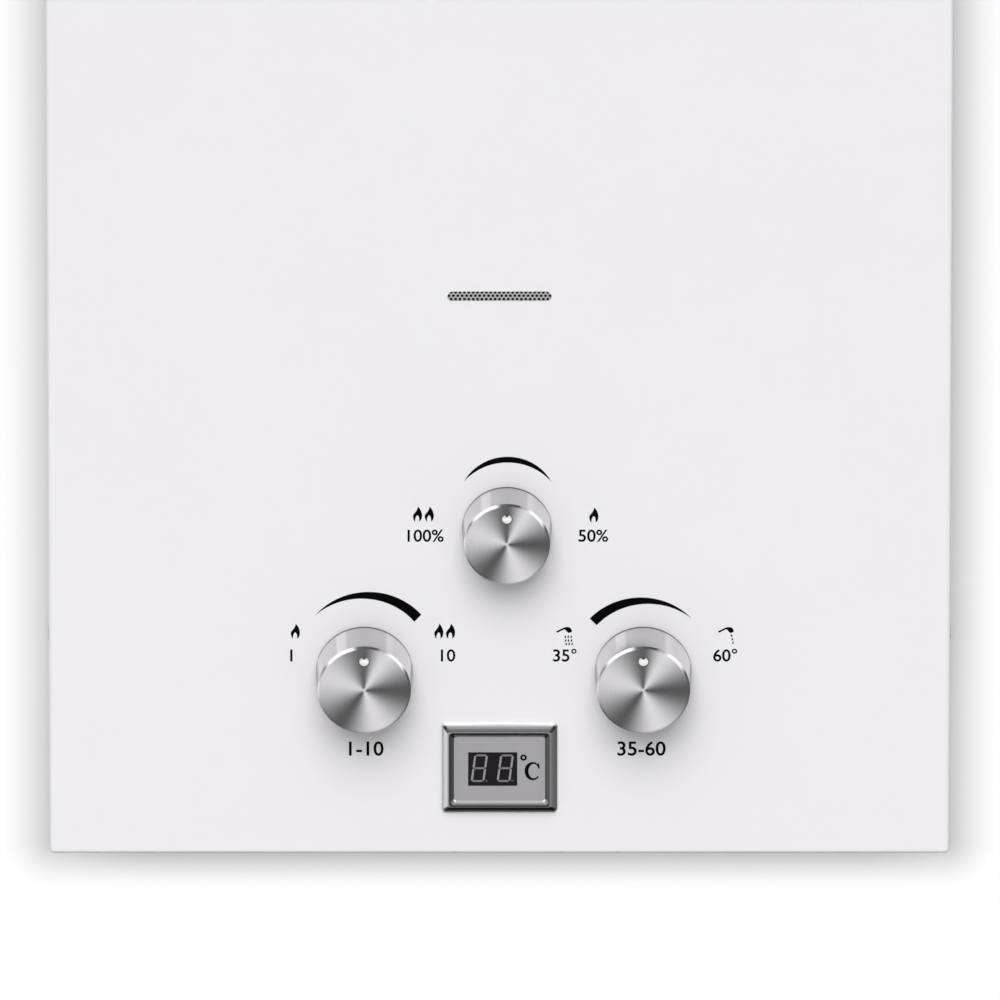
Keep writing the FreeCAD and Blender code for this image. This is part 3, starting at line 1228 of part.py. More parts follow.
def make_burner_frame():
    x = span(0, BURNER_WIDTH)
    y = (BURNER_FRONT, BURNER_REAR)
    frame = block(x, y, (BURNER_LOW, BURNER_TOP))
    sheet = BURNER_SHEET
    hollow = block(
        (x[0] + sheet, x[1] - sheet), (y[0] + sheet, y[1] - sheet), (BURNER_LOW + sheet, BURNER_TOP + OVER)
    )
    air_x = span(0, BURNER_WIDTH - 2 * FRAME_RIM_X)
    air_y = span(BURNER_CENTRE_Y, BURNER_DEPTH - 2 * FRAME_RIM_Y)
    air = block(air_x, air_y, (BURNER_LOW - OVER, BURNER_TOP))
    mouth_y = (y[0] - OVER, y[0] + sheet + OVER)
    mouths = [rod_y(MOUTH_RADIUS + SEAT_GAP, bar_x, mouth_y, MOUTH_Z) for bar_x in bar_places()]
    return frame.cut([hollow, air] + mouths)


# Heat exchanger


def tube_levels():
    """The y of each pass of the tube, from the back to the front."""
    last = BURNER_CENTRE_Y + TUBE_PITCH * (TUBE_PASSES - 1) / 2
    return [last - i * TUBE_PITCH for i in range(TUBE_PASSES)]


def electrode_places():
    return [ELECTRODE_FIRST_X + i * ELECTRODE_SPACING for i in range(2)]


def make_jacket():
    half = BURNER_WIDTH / 2
    x = (-half, half)
    y = (BURNER_FRONT, BURNER_REAR)
    z = (BURNER_TOP, JACKET_TOP)
    outside = rounded_block(x, y, z, JACKET_CORNER_RADIUS, Z_AXIS)
    sheet = JACKET_SHEET
    inside = rounded_block(
        (x[0] + sheet, x[1] - sheet),
        (y[0] + sheet, y[1] - sheet),
        (z[0] - OVER, z[1] + OVER),
        JACKET_CORNER_RADIUS - sheet,
        Z_AXIS,
    )
    across = (x[0] - OVER, x[1] + OVER)
    holes = [rod_x(TUBE_RADIUS + SEAT_GAP, across, level, TUBE_Z) for level in tube_levels()]
    through = (y[0] - OVER, y[0] + sheet + OVER)
    holes.append(stadium(VIEW_SLOT_LENGTH, VIEW_SLOT_HEIGHT, Vector(0, 0, WINDOW_Z), through))
    electrode_z = BURNER_TOP + ELECTRODE_RISE
    holes += [rod_y(CERAMIC_RADIUS + SEAT_GAP, px, through, electrode_z) for px in electrode_places()]
    return outside.cut([inside] + holes)


def make_fins():
    margin = JACKET_SHEET + SEAT_GAP
    y = (BURNER_FRONT + margin, BURNER_REAR - margin)
    first = -BURNER_WIDTH / 2 + JACKET_CORNER_RADIUS + FIN_MARGIN
    fin = block((first, first + FIN_SHEET), y, span(TUBE_Z, FIN_HEIGHT))
    through = (first - OVER, first + FIN_SHEET + OVER)
    holes = [rod_x(TUBE_RADIUS + SEAT_GAP, through, level, TUBE_Z) for level in tube_levels()]
    fin = fin.cut(holes)
    pitch = (-2 * first - FIN_SHEET) / (FIN_COUNT - 1)
    return group([fin.translated(X_AXIS * (pitch * i)) for i in range(FIN_COUNT)])


def make_exchanger_tube():
    """One tube that crosses the jacket five times, from the back on the right to the front on the left."""
    exit_x = BURNER_WIDTH / 2 + TUBE_EXIT
    bend = TUBE_PITCH / 2
    levels = tube_levels()
    points = [Vector(exit_x, levels[0], TUBE_Z)]
    side = -1
    for here, following in zip(levels, levels[1:]):
        turn_x = side * (exit_x + bend)
        points.append(Vector(turn_x, here, TUBE_Z))
        points.append(Vector(turn_x, following, TUBE_Z))
        side = -side
    points.append(Vector(side * exit_x, levels[-1], TUBE_Z))
    return tube(points, [bend - BEND_CLOSENESS] * (len(points) - 2), TUBE_RADIUS, TUBE_RADIUS - TUBE_WALL)


def make_wrap_tube():
    """Cold water: up from the water valve, twice round the jacket, then up to the fin tube."""
    side = BURNER_WIDTH / 2 + WRAP_GAP + TUBE_RADIUS
    front = BURNER_FRONT - WRAP_GAP - TUBE_RADIUS
    back = BURNER_REAR + WRAP_GAP + TUBE_RADIUS
    level = BURNER_TOP + WRAP_FIRST_SHARE * JACKET_HEIGHT
    points = [
        Vector(WATER_RIGHT - SOCKET_DEPTH, VALVE_AXIS_Y, SIDE_KNOB_Z),
        Vector(side, VALVE_AXIS_Y, SIDE_KNOB_Z),
        Vector(side, VALVE_AXIS_Y, level),
    ]
    corners = [(side, front), (-side, front), (-side, back), (side, back)]
    for x, y in corners + corners[:3]:
        points.append(Vector(x, y, level))
        level += WRAP_SLOPE_SHARE * JACKET_HEIGHT
    exit_x = BURNER_WIDTH / 2 + TUBE_EXIT
    turn_x = exit_x + RISER_OFFSET
    pass_y = tube_levels()[0]
    points.append(Vector(turn_x, back, level))
    points.append(Vector(turn_x, pass_y, level + RISER_FIRST_SHARE * JACKET_HEIGHT))
    points.append(Vector(turn_x, pass_y, TUBE_Z))
    points.append(Vector(exit_x, pass_y, TUBE_Z))
    bends = [WRAP_BEND] * (len(points) - 2)
    bends[-3:] = [RISER_BEND] * 3
    return tube(points, bends, TUBE_RADIUS, TUBE_RADIUS - TUBE_WALL)


def make_outlet_pipe():
    """Hot water: from the front of the fin tube down to the outlet fitting."""
    exit_x = BURNER_WIDTH / 2 + TUBE_EXIT
    pass_y = tube_levels()[-1]
    points = [
        Vector(-exit_x, pass_y, TUBE_Z),
        Vector(OUTLET_X, pass_y, TUBE_Z),
        Vector(OUTLET_X, pass_y, OUTLET_PIPE_TURN_Z),
        Vector(OUTLET_X, VALVE_AXIS_Y, OUTLET_PIPE_TURN_Z - OUTLET_PIPE_FALL),
        Vector(OUTLET_X, VALVE_AXIS_Y, PLATE_TOP + OUTLET_STUB - SOCKET_DEPTH),
    ]
    return tube(points, [OUTLET_BEND] * 3, TUBE_RADIUS, TUBE_RADIUS - TUBE_WALL)


def make_ceramics():
    """The insulators of the spark and flame electrodes."""
    made = []
    z = BURNER_TOP + ELECTRODE_RISE
    for x in electrode_places():
        back = BURNER_FRONT + CERAMIC_INSIDE
        body = rod_y(CERAMIC_RADIUS, x, (back - CERAMIC_LENGTH, back), z)
        collar = rod_y(CERAMIC_COLLAR_RADIUS, x, (BURNER_FRONT - CERAMIC_COLLAR_LENGTH, BURNER_FRONT), z)
        bore = rod_y(PIN_RADIUS + RUNNING_GAP, x, (back - CERAMIC_LENGTH - OVER, back + OVER), z)
        made.append(body.fuse(collar).cut(bore))
    return group(made)


def make_electrode_pins():
    made = []
    z = BURNER_TOP + ELECTRODE_RISE
    for x in electrode_places():
        back = BURNER_FRONT + CERAMIC_INSIDE
        front = back - CERAMIC_LENGTH - PIN_TAIL
        tip = back + PIN_INSIDE
        points = [Vector(x, front, z), Vector(x, tip, z), Vector(x, tip, z - ELECTRODE_RISE / 2)]
        made.append(tube(points, [PIN_BEND], PIN_RADIUS))
    return group(made)


# Flue


def make_flue_hood():
    """A skirt round the jacket, a taper and a collar that comes out of the cabinet's top."""
    skirt = (BURNER_WIDTH / 2 + SEAT_GAP + HOOD_SHEET, BURNER_DEPTH / 2 + SEAT_GAP + HOOD_SHEET)
    collar = (COLLAR_WIDTH / 2, COLLAR_DEPTH / 2)
    outside = flue_solid(skirt, collar, 0)
    hollow_skirt = tuple(half - HOOD_SHEET for half in skirt)
    hollow_collar = tuple(half - HOOD_SHEET for half in collar)
    return outside.cut(flue_solid(hollow_skirt, hollow_collar, OVER))


def flue_solid(skirt, collar, overrun):
    """The hood's outline between its foot and its top, filled; overrun lengthens both ends."""
    y = BURNER_CENTRE_Y
    low = frustum(skirt, skirt, y, (HOOD_FOOT - overrun, HOOD_SHOULDER))
    middle = frustum(skirt, collar, y, (HOOD_SHOULDER, HOOD_NECK))
    high = frustum(collar, collar, y, (HOOD_NECK, FLUE_TOP + overrun))
    return low.fuse([middle, high]).removeSplitter()


def make_flue_cap():
    """A lid with slotted walls and a flange that is screwed to the cabinet's top."""
    x, y = span(0, CAP_WIDTH), span(BURNER_CENTRE_Y, CAP_DEPTH)
    top = HEIGHT + CAP_HEIGHT
    sheet = CAP_SHEET
    shell = rounded_block(x, y, (HEIGHT, top), CAP_CORNER_RADIUS, Z_AXIS)
    flange_x, flange_y = span(0, CAP_WIDTH + 2 * CAP_FLANGE), span(BURNER_CENTRE_Y, CAP_DEPTH + 2 * CAP_FLANGE)
    flange = rounded_block(flange_x, flange_y, (HEIGHT, HEIGHT + sheet), CAP_CORNER_RADIUS, Z_AXIS)
    inside = rounded_block(
        (x[0] + sheet, x[1] - sheet),
        (y[0] + sheet, y[1] - sheet),
        (HEIGHT - OVER, top - sheet),
        CAP_CORNER_RADIUS - sheet,
        Z_AXIS,
    )
    slot_z = span(HEIGHT + CAP_HEIGHT / 2 + sheet, CAP_SLOT_HEIGHT)
    cuts = [inside]
    for centre in slot_centres(CAP_WIDTH):
        cuts.append(block(span(centre, CAP_SLOT_WIDTH), (y[0] - OVER, y[1] + OVER), slot_z))
    for centre in slot_centres(CAP_DEPTH):
        cuts.append(block((x[0] - OVER, x[1] + OVER), span(BURNER_CENTRE_Y + centre, CAP_SLOT_WIDTH), slot_z))
    for seat, into in cap_screw_seats():
        cuts.append(rod(SCREW_RADIUS + SEAT_GAP, seat - into, seat + into * SCREW_LENGTH))
    return shell.fuse(flange).cut(cuts)


def slot_centres(length):
    """Evenly spaced centres of the flue cap's slots along a wall of that length."""
    count = int((length - 2 * CAP_SLOT_END_MARGIN) / CAP_SLOT_PITCH) + 1
    return [(i - (count - 1) / 2) * CAP_SLOT_PITCH for i in range(count)]


# Carrying handle


def make_handle_brackets():
    """Two angle pieces on the cabinet's top, each with a hole for the bail's end."""
    made = []
    for side in (-1, 1):
        low, high = bracket_base_x(side)
        ear_x = (low, low + BRACKET_SHEET) if side > 0 else (high - BRACKET_SHEET, high)
        base = block((low, high), span(HANDLE_Y, BRACKET_LENGTH), (HEIGHT, HEIGHT + BRACKET_SHEET))
        ear_y, ear_top = span(HANDLE_Y, BRACKET_EAR_LENGTH), HANDLE_Z + BRACKET_EAR_RISE
        below = HEIGHT - 2 * BRACKET_EAR_RADIUS
        ear = rounded_block(ear_x, ear_y, (below, ear_top), BRACKET_EAR_RADIUS, X_AXIS)
        ear = ear.common(block(ear_x, ear_y, (HEIGHT, ear_top)))
        angle = base.fuse(ear).removeSplitter()
        hole = rod_x(HANDLE_ROD_RADIUS + RUNNING_GAP, (ear_x[0] - OVER, ear_x[1] + OVER), HANDLE_Y, HANDLE_Z)
        screw_holes = [
            rod(SCREW_RADIUS + SEAT_GAP, seat - into, seat + into * SCREW_LENGTH)
            for seat, into in bracket_screw_seats()
        ]
        made.append(angle.cut([hole] + screw_holes))
    return group(made)


def make_handle_bail():
    """A steel rod bent to a wide U, folded down over the front of the cabinet's top."""
    half = HANDLE_SPAN / 2
    front = HANDLE_Y - HANDLE_ARM
    tip = half + HANDLE_PIVOT_LENGTH
    outline = [
        (tip, HANDLE_Y),
        (half, HANDLE_Y),
        (half, front),
        (-half, front),
        (-half, HANDLE_Y),
        (-tip, HANDLE_Y),
    ]
    points = [Vector(x, y, HANDLE_Z) for x, y in outline]
    bends = [HANDLE_PIVOT_BEND, HANDLE_BEND, HANDLE_BEND, HANDLE_PIVOT_BEND]
    return tube(points, bends, HANDLE_ROD_RADIUS)


def make_handle_grip():
    front = HANDLE_Y - HANDLE_ARM
    x = span(0, GRIP_LENGTH)
    grip = rod_x(GRIP_RADIUS, x, front, HANDLE_Z)
    grip = grip.makeFillet(GRIP_EDGE_RADIUS, [e for e in grip.Edges if e.Closed])
    cuts = [rod_x(HANDLE_ROD_RADIUS + RUNNING_GAP, (x[0] - OVER, x[1] + OVER), front, HANDLE_Z)]
    for i in range(GRIP_GROOVES):
        centre = (i - (GRIP_GROOVES - 1) / 2) * GRIP_GROOVE_PITCH
        groove_x = span(centre, GRIP_GROOVE_WIDTH)
        outer = rod_x(GRIP_RADIUS + OVER, groove_x, front, HANDLE_Z)
        cuts.append(outer.cut(rod_x(GRIP_RADIUS - GRIP_GROOVE_DEPTH, groove_x, front, HANDLE_Z)))
    return grip.cut(cuts)


# Pipe fittings under the cabinet


def make_fitting(x, top):
    """A fitting with a stem through the bottom plate, a collar on it, a hexagon and an outside thread."""
    y = VALVE_AXIS_Y
    hex_top = -FITTING_HEX_DROP
    stem = rod_z(FITTING_STEM_RADIUS, x, y, (hex_top - OVER, top))
    collar = rod_z(FITTING_COLLAR_RADIUS, x, y, (PLATE_TOP, PLATE_TOP + FITTING_COLLAR_HEIGHT))
    nut = hexagon(FITTING_HEX_FLATS, Vector(x, y, THREAD_TOP), Vector(x, y, hex_top))
    thread = rod_z(THREAD_RADIUS, x, y, (THREAD_END, THREAD_TOP))
    chamfer = THREAD_END_CHAMFER
    low = Vector(x, y, THREAD_END - chamfer)
    lead = Part.makeCone(THREAD_RADIUS - chamfer, THREAD_RADIUS, chamfer, low, Z_AXIS)
    bore = rod_z(FITTING_BORE_RADIUS, x, y, (low.z - OVER, top + OVER))
    return stem.fuse([collar, nut, thread, lead]).cut(bore)


def make_outlet_fitting():
    top = PLATE_TOP + OUTLET_STUB
    socket = rod_z(TUBE_RADIUS + SEAT_GAP, OUTLET_X, VALVE_AXIS_Y, (top - SOCKET_DEPTH, top + OVER))
    return make_fitting(OUTLET_X, top).cut(socket)


def make_drain_valve():
    y = VALVE_AXIS_Y
    stem = rod_z(DRAIN_RADIUS, DRAIN_X, y, (-DRAIN_DROP, VALVE_LOW))
    return stem.cut(rod_z(DRAIN_BORE_RADIUS, DRAIN_X, y, (-DRAIN_DROP - OVER, VALVE_LOW + OVER)))


def make_drain_knob():
    """A wing-headed plug that is turned to drain the heater before frost."""
    y = VALVE_AXIS_Y
    top = -DRAIN_DROP - RUNNING_GAP
    low = top - DRAIN_KNOB_HEIGHT
    hub = rod_z(DRAIN_KNOB_RADIUS, DRAIN_X, y, (top - DRAIN_KNOB_HEIGHT / 2, top))
    boss = rod_z(DRAIN_KNOB_RADIUS / 2, DRAIN_X, y, (low, top))
    wing_z = (low, top - DRAIN_WING_DROP)
    wing = block(span(DRAIN_X, 2 * DRAIN_WING_REACH), span(y, DRAIN_WING_WIDTH), wing_z)
    spigot = rod_z(DRAIN_BORE_RADIUS - RUNNING_GAP, DRAIN_X, y, (top - OVER, top + DRAIN_SPIGOT_LENGTH))
    return hub.fuse([boss, wing, spigot]).removeSplitter()


# Battery box


def make_battery_box():
    wall = BATTERY_WALL
    outer_x = (BATTERY_LEFT - wall, BATTERY_RIGHT + wall)
    outer_y = (BATTERY_FRONT - wall, BATTERY_REAR + wall)
    top = BATTERY_INNER_TOP + wall
    box = block(outer_x, outer_y, (0, top))
    inside_z = (-OVER, BATTERY_INNER_TOP)
    box = box.cut(block((BATTERY_LEFT, BATTERY_RIGHT), (BATTERY_FRONT, BATTERY_REAR), inside_z))
    ear_y = (outer_y[1] - OVER, -PLATE_DEPTH + BATTERY_EAR_OVERLAP)
    ear_z = (PLATE_TOP, PLATE_TOP + BATTERY_EAR_SHEET)
    additions = [block(span(BATTERY_X, BATTERY_EAR_WIDTH), ear_y, ear_z)]
    additions += [hinge_ear(x) for x in hinge_ear_places()]
    box = box.fuse(additions).removeSplitter()
    pin_holes = [
        rod_x(HINGE_PIN_RADIUS + RUNNING_GAP, (x[0] - OVER, x[1] + OVER), HINGE_Y, HINGE_Z)
        for x in hinge_ear_places()
    ]
    return box.cut(pin_holes)


def hinge_ear_places():
    """(low, high) of each hinge ear along X, one at each end of the door."""
    left = BATTERY_LEFT + HINGE_INSET
    right = BATTERY_RIGHT - HINGE_INSET
    return [(left - HINGE_EAR_WIDTH, left), (right, right + HINGE_EAR_WIDTH)]


def hinge_ear(x):
    reach = HINGE_BARREL_RADIUS + HINGE_EAR_MARGIN
    y = (BATTERY_REAR + BATTERY_WALL, HINGE_Y + reach)
    return block(x, y, (HINGE_Z - reach, HINGE_EAR_HEIGHT))


def make_battery_door():
    """The door under the cells, with a knuckle and a moulded pin at each end and a catch in front."""
    wall = BATTERY_WALL
    z = (DOOR_TOP - DOOR_SHEET, DOOR_TOP)
    outer_x = (BATTERY_LEFT - wall, BATTERY_RIGHT + wall)
    rear = BATTERY_REAR
    door = block(outer_x, (BATTERY_FRONT - wall, rear), z)
    pieces = []
    inner_left, inner_right = hinge_ear_places()[0][1], hinge_ear_places()[1][0]
    for start, side in ((inner_left, 1), (inner_right, -1)):
        near = start + side * SHEET_GAP
        far = near + side * HINGE_KNUCKLE_WIDTH
        knuckle_x = (min(near, far), max(near, far))
        pieces.append(block(knuckle_x, (rear - OVER, HINGE_Y), z))
        pieces.append(rod_x(HINGE_BARREL_RADIUS, knuckle_x, HINGE_Y, HINGE_Z))
        tip = near - side * HINGE_PIN_LENGTH
        pieces.append(rod_x(HINGE_PIN_RADIUS, (min(tip, far), max(tip, far)), HINGE_Y, HINGE_Z))
    latch_y = (BATTERY_FRONT + LATCH_GAP, BATTERY_FRONT + LATCH_GAP + LATCH_SHEET)
    pieces.append(block(span(BATTERY_X, LATCH_WIDTH), latch_y, (DOOR_TOP - OVER, DOOR_TOP + LATCH_RISE)))
    return door.fuse(pieces).removeSplitter()


def make_battery_cells():
    made = []
    left = BATTERY_LEFT + CONTACT_SHEET
    for i in range(CELL_COUNT):
        nub = left + i * CELL_LENGTH
        body_left = nub + CELL_NUB_LENGTH
        body = rod_x(CELL_RADIUS, (body_left, body_left + CELL_BODY_LENGTH), BATTERY_Y, CELL_Z)
        cap = rod_x(CELL_NUB_RADIUS, (nub, body_left + OVER), BATTERY_Y, CELL_Z)
        made.append(body.fuse(cap).removeSplitter())
    return group(made)


def make_battery_contacts():
    """A flat plate at the cells' positive end, and a plate with a coil spring at the other."""
    y, z = span(BATTERY_Y, CONTACT_SIZE), span(CELL_Z, CONTACT_SIZE)
    positive = block((BATTERY_LEFT, BATTERY_LEFT + CONTACT_SHEET), y, z)
    negative_left = BATTERY_RIGHT - CONTACT_SHEET
    negative = block((negative_left, BATTERY_RIGHT), y, z)
    wire = BATTERY_SPRING_WIRE
    start = Vector(negative_left - wire / 2, BATTERY_Y, CELL_Z)
    length = BATTERY_SPRING_LENGTH - wire * 3 / 2 - RUNNING_GAP
    spring = coil(BATTERY_SPRING_RADIUS, wire, length, BATTERY_SPRING_TURNS, start, -X_AXIS)
    return group([positive, negative.fuse(spring)])


# Igniter and supports


def make_igniter():
    y = (-CHASSIS_SHEET - IGNITER_DEPTH, -CHASSIS_SHEET)
    z = (IGNITER_LOW, IGNITER_LOW + IGNITER_HEIGHT)
    x = span(WIDTH / 2 - IGNITER_INSET, IGNITER_WIDTH)
    return rounded_block(x, y, z, IGNITER_EDGE_RADIUS, Y_AXIS)


def support(x, face_y, low):
    """A channel of folded sheet between the back plate and a face that stands in front of it."""
    sheet = SUPPORT_SHEET
    wall_y = -CHASSIS_SHEET
    x = span(x, SUPPORT_WIDTH)
    web = block(x, (face_y, wall_y), (low, low + sheet))
    wall_leg = block(x, (wall_y - sheet, wall_y), (low, low + SUPPORT_LEG))
    face_leg = block(x, (face_y, face_y + sheet), (low, low + SUPPORT_LEG))
    return web.fuse([wall_leg, face_leg]).removeSplitter()


def make_supports():
    hood_rear = BURNER_REAR + SEAT_GAP + HOOD_SHEET
    made = [support(side * FRAME_SUPPORT_X, BURNER_REAR, BURNER_LOW + FRAME_SUPPORT_RISE) for side in (-1, 1)]
    low = HOOD_SHOULDER - SUPPORT_LEG
    made += [support(side * HOOD_SUPPORT_X, hood_rear, low) for side in (-1, 1)]
    low = VALVE_LOW + VALVE_SUPPORT_RISE
    made.append(support((GAS_LEFT + GAS_RIGHT) / 2, VALVE_REAR, low))
    made.append(support((WATER_LEFT + WATER_FLANGE_THICKNESS + WATER_RIGHT) / 2, VALVE_REAR, low))
    made.append(switch_bracket())
    return group(made)


def make_parts():
    """Node name to shape, for every piece of the heater."""
    parts = {
        "back_plate": make_back_plate(),
        "front_cover": make_front_cover(),
        "bottom_plate": make_bottom_plate(),
        "cabinet_screws": make_cabinet_screws(),
        "window_strip": make_window_strip(),
        "display_bezel": make_bezel(),
        "display_lens_plate": make_lens_plate(),
        "led_module": make_led_module(),
        "display_board": make_display_board(),
        "display_housing": make_display_housing(),
        "gas_valve_body": make_gas_valve_body(),
        "safety_solenoid": make_solenoid(),
        "solenoid_plunger": make_plunger(),
        "gas_poppet": make_poppet(),
        "poppet_spring": make_poppet_spring(),
        "push_rod": make_push_rod(),
        "water_valve_cover": make_water_valve_cover(),
        "diaphragm": make_diaphragm(),
        "water_valve_body": make_water_valve_body(),
        "valve_screws": make_valve_screws(),
        "microswitch": make_microswitch(),
        "switch_lever": make_switch_lever(),
        "season_valve_body": make_season_valve(),
        "gas_manifold": make_gas_manifold(),
        "gas_injectors": make_injectors(),
        "burner_bars": make_burner_bars(),
        "burner_frame": make_burner_frame(),
        "exchanger_jacket": make_jacket(),
        "exchanger_fins": make_fins(),
        "exchanger_tube": make_exchanger_tube(),
        "wrap_tube": make_wrap_tube(),
        "hot_water_pipe": make_outlet_pipe(),
        "electrode_ceramics": make_ceramics(),
        "electrode_pins": make_electrode_pins(),
        "flue_hood": make_flue_hood(),
        "flue_cap": make_flue_cap(),
        "handle_brackets": make_handle_brackets(),
        "handle_bail": make_handle_bail(),
        "handle_grip": make_handle_grip(),
        "gas_inlet_fitting": make_fitting(GAS_INLET_X, VALVE_LOW),
        "water_inlet_fitting": make_fitting(WATER_INLET_X, VALVE_LOW),
        "hot_outlet_fitting": make_outlet_fitting(),
        "drain_valve": make_drain_valve(),
        "drain_knob": make_drain_knob(),
        "battery_box": make_battery_box(),
        "battery_door": make_battery_door(),
        "battery_cells": make_battery_cells(),
        "battery_contacts": make_battery_contacts(),
        "pulse_igniter": make_igniter(),
        "support_brackets": make_supports(),
    }
    fronts = {"gas": VALVE_FRONT, "water": VALVE_FRONT, "season": SEASON_BODY_FRONT}
    glands = []
    for name, (x, z, radius, height) in knob_places().items():
        parts[name + "_knob"] = make_knob(x, z, radius, height)
        parts[name + "_knob_core"] = make_knob_core(x, z, radius, height)
        parts[name + "_spindle"] = make_spindle(x, z, fronts[name])
        glands.append(make_gland(x, z, fronts[name]))
    parts["spindle_glands"] = group(glands)
    return parts


def main():
    os.makedirs("parts", exist_ok=True)
    for name, shape in make_parts().items():
        solids = shape.Solids
        bad = [s for s in solids if not s.isValid() or s.Volume <= 0]
        print(name, len(solids), "solids", round(shape.Volume, 1), "mm3", "INVALID" if bad else "")
        shape.exportStep(f"parts/{name}.step")


main()
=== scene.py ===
"""Looks of a portable propane water heater: finishes, panel printing, display, fittings and a pale stage."""

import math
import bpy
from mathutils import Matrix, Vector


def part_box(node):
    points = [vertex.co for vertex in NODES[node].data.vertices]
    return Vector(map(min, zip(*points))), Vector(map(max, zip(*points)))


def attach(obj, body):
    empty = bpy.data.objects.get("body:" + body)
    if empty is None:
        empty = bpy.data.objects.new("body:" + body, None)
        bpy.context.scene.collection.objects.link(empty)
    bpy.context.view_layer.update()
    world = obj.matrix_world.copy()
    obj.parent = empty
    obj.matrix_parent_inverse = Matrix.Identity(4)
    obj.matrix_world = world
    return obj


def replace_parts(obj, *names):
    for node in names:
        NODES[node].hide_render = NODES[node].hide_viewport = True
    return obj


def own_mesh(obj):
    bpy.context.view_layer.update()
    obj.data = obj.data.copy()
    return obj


bl_info = {
    "name": "Portable water heater",
    "version": (1, 0, 0),
    "blender": (4, 2, 0),
    "location": "3D View > Sidebar > Heater",
    "description": "Finishes, panel printing, display and stage of a portable gas water heater",
    "category": "Object",
}

import bmesh
import bpy
from bpy.props import FloatProperty, FloatVectorProperty, IntProperty, PointerProperty
from mathutils import Vector

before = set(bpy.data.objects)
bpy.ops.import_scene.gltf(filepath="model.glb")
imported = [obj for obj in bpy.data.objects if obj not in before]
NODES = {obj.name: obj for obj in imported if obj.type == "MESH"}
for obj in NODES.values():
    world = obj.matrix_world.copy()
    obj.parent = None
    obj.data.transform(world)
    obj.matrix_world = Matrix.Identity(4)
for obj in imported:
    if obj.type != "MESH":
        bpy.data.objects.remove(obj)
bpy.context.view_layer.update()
MM = 0.001


def linear(code):
    """An sRGB hex code as linear red, green and blue."""
    shares = [int(code[i : i + 2], 16) / 255 for i in (0, 2, 4)]
    return tuple(s / 12.92 if s <= 0.04045 else ((s + 0.055) / 1.055) ** 2.4 for s in shares)


def shade(level):
    """A neutral grey of an sRGB level from 0 to 1, as a linear colour with alpha."""
    return (*linear(f"{round(level * 255):02x}" * 3), 1)


def per_mm(size):
    """The texture scale at which a pattern's features are this many millimetres apart."""
    return 1 / (size * MM)


# Settings that a user would change


def colour(name, description, code):
    return FloatVectorProperty(
        name=name, description=description, subtype="COLOR", size=3, min=0, max=1, default=linear(code)
    )


def length(name, description, size):
    return FloatProperty(name=name, description=description, subtype="DISTANCE", unit="LENGTH", default=size * MM)


def strength(name, description, level):
    return FloatProperty(name=name, description=description, default=level)


class HeaterFinishes(bpy.types.PropertyGroup):
    """Colours of the finishes."""

    cover: colour("Cover paint", "Powder coat of the front cover", "EEECEF")
    ink: colour("Ink", "Screen-printed marks on the panel", "030304")
    aluminium: colour("Aluminium", "Spun caps of the knobs", "E4E2E5")
    chrome: colour("Chrome", "Frame of the display", "E8E8EA")
    lens: colour("Lens plate", "Grey plate round the digits", "A09EA1")
    plastic: colour("Black plastic", "Moulded boxes and housings", "1C1B1D")
    brass: colour("Brass", "Turned pipe fittings", "C9A566")
    copper: colour("Copper", "Heat exchanger and its pipes", "C8805E")
    zinc: colour("Zinc", "Galvanised sheet of the chassis", "C6CACD")
    rubber: colour("Rubber", "Grip of the carrying handle", "242325")


class HeaterSizes(bpy.types.PropertyGroup):
    """Sizes of what is added to the solids."""

    ink_height: length("Ink height", "How far the printing stands on the panel", 0.04)
    numeral_height: length("Numeral height", "Height of the numerals beside the knobs", 4.6)
    caption_height: length("Caption height", "Height of the numerals below the knobs", 5.4)
    flame_width: length("Flame width", "Width of one printed flame", 3.3)
    flame_height: length("Flame height", "Height of one printed flame", 6.0)
    segment_width: length("Segment width", "Width of one bar of a digit", 0.74)
    thread_pitch: length("Thread pitch", "Distance between the turns of the pipe threads", 1.814)
    thread_depth: length("Thread depth", "How far a thread's crest stands over its root", 0.8)
    thread_crest: length("Thread crest", "How far a thread's crest stands out of the fitting", 0.4)
    spring_wire: length("Spring wire", "Diameter of the poppet spring's wire", 1.0)
    spring_turns: IntProperty(name="Spring turns", description="Turns of the poppet spring", default=4, min=1)
    rod_travel: length("Rod travel", "How far the push rod squeezes the poppet spring", 4.0)


class HeaterStage(bpy.types.PropertyGroup):
    """Stage, lamps and camera."""

    floor_drop: length("Floor drop", "How far below the cabinet the floor lies", 160.0)
    elevation: FloatProperty(
        name="Camera elevation",
        description="How far above the horizon the camera stands",
        subtype="ANGLE",
        unit="ROTATION",
        default=math.radians(22),
    )
    world: strength("Room light", "Strength of the soft light all round", 1.0)
    key: strength("Key lamp", "Strength of the wide lamp above and in front", 2.35)
    fill: strength("Front lamp", "Strength of the low lamp in front", 0.2)


# Node and mesh helpers


MIX_COLOURS = {"out": 2, "data_type": "RGBA"}  # for a Mix node, whose inputs 6 and 7 are then its two colours


def plug(node, inputs):
    """Sets a node's inputs, in order or by name or number, each to a value or to the socket that it is linked to."""
    for key, value in inputs.items() if isinstance(inputs, dict) else enumerate(inputs):
        if isinstance(value, bpy.types.NodeSocket):
            node.id_data.links.new(value, node.inputs[key])
        else:
            node.inputs[key].default_value = value


def add(tree, kind, inputs=(), out=0, **settings):
    """Adds a node, whose type is kind after ShaderNode, and returns the output that out numbers or names. A MapRange
    takes in order its value, the two ends that this runs between and the two that it is mapped to."""
    node = tree.nodes.new("ShaderNode" + kind)
    for name, value in settings.items():
        setattr(node, name, value)
    plug(node, inputs)
    return node.outputs[out] if node.outputs else None


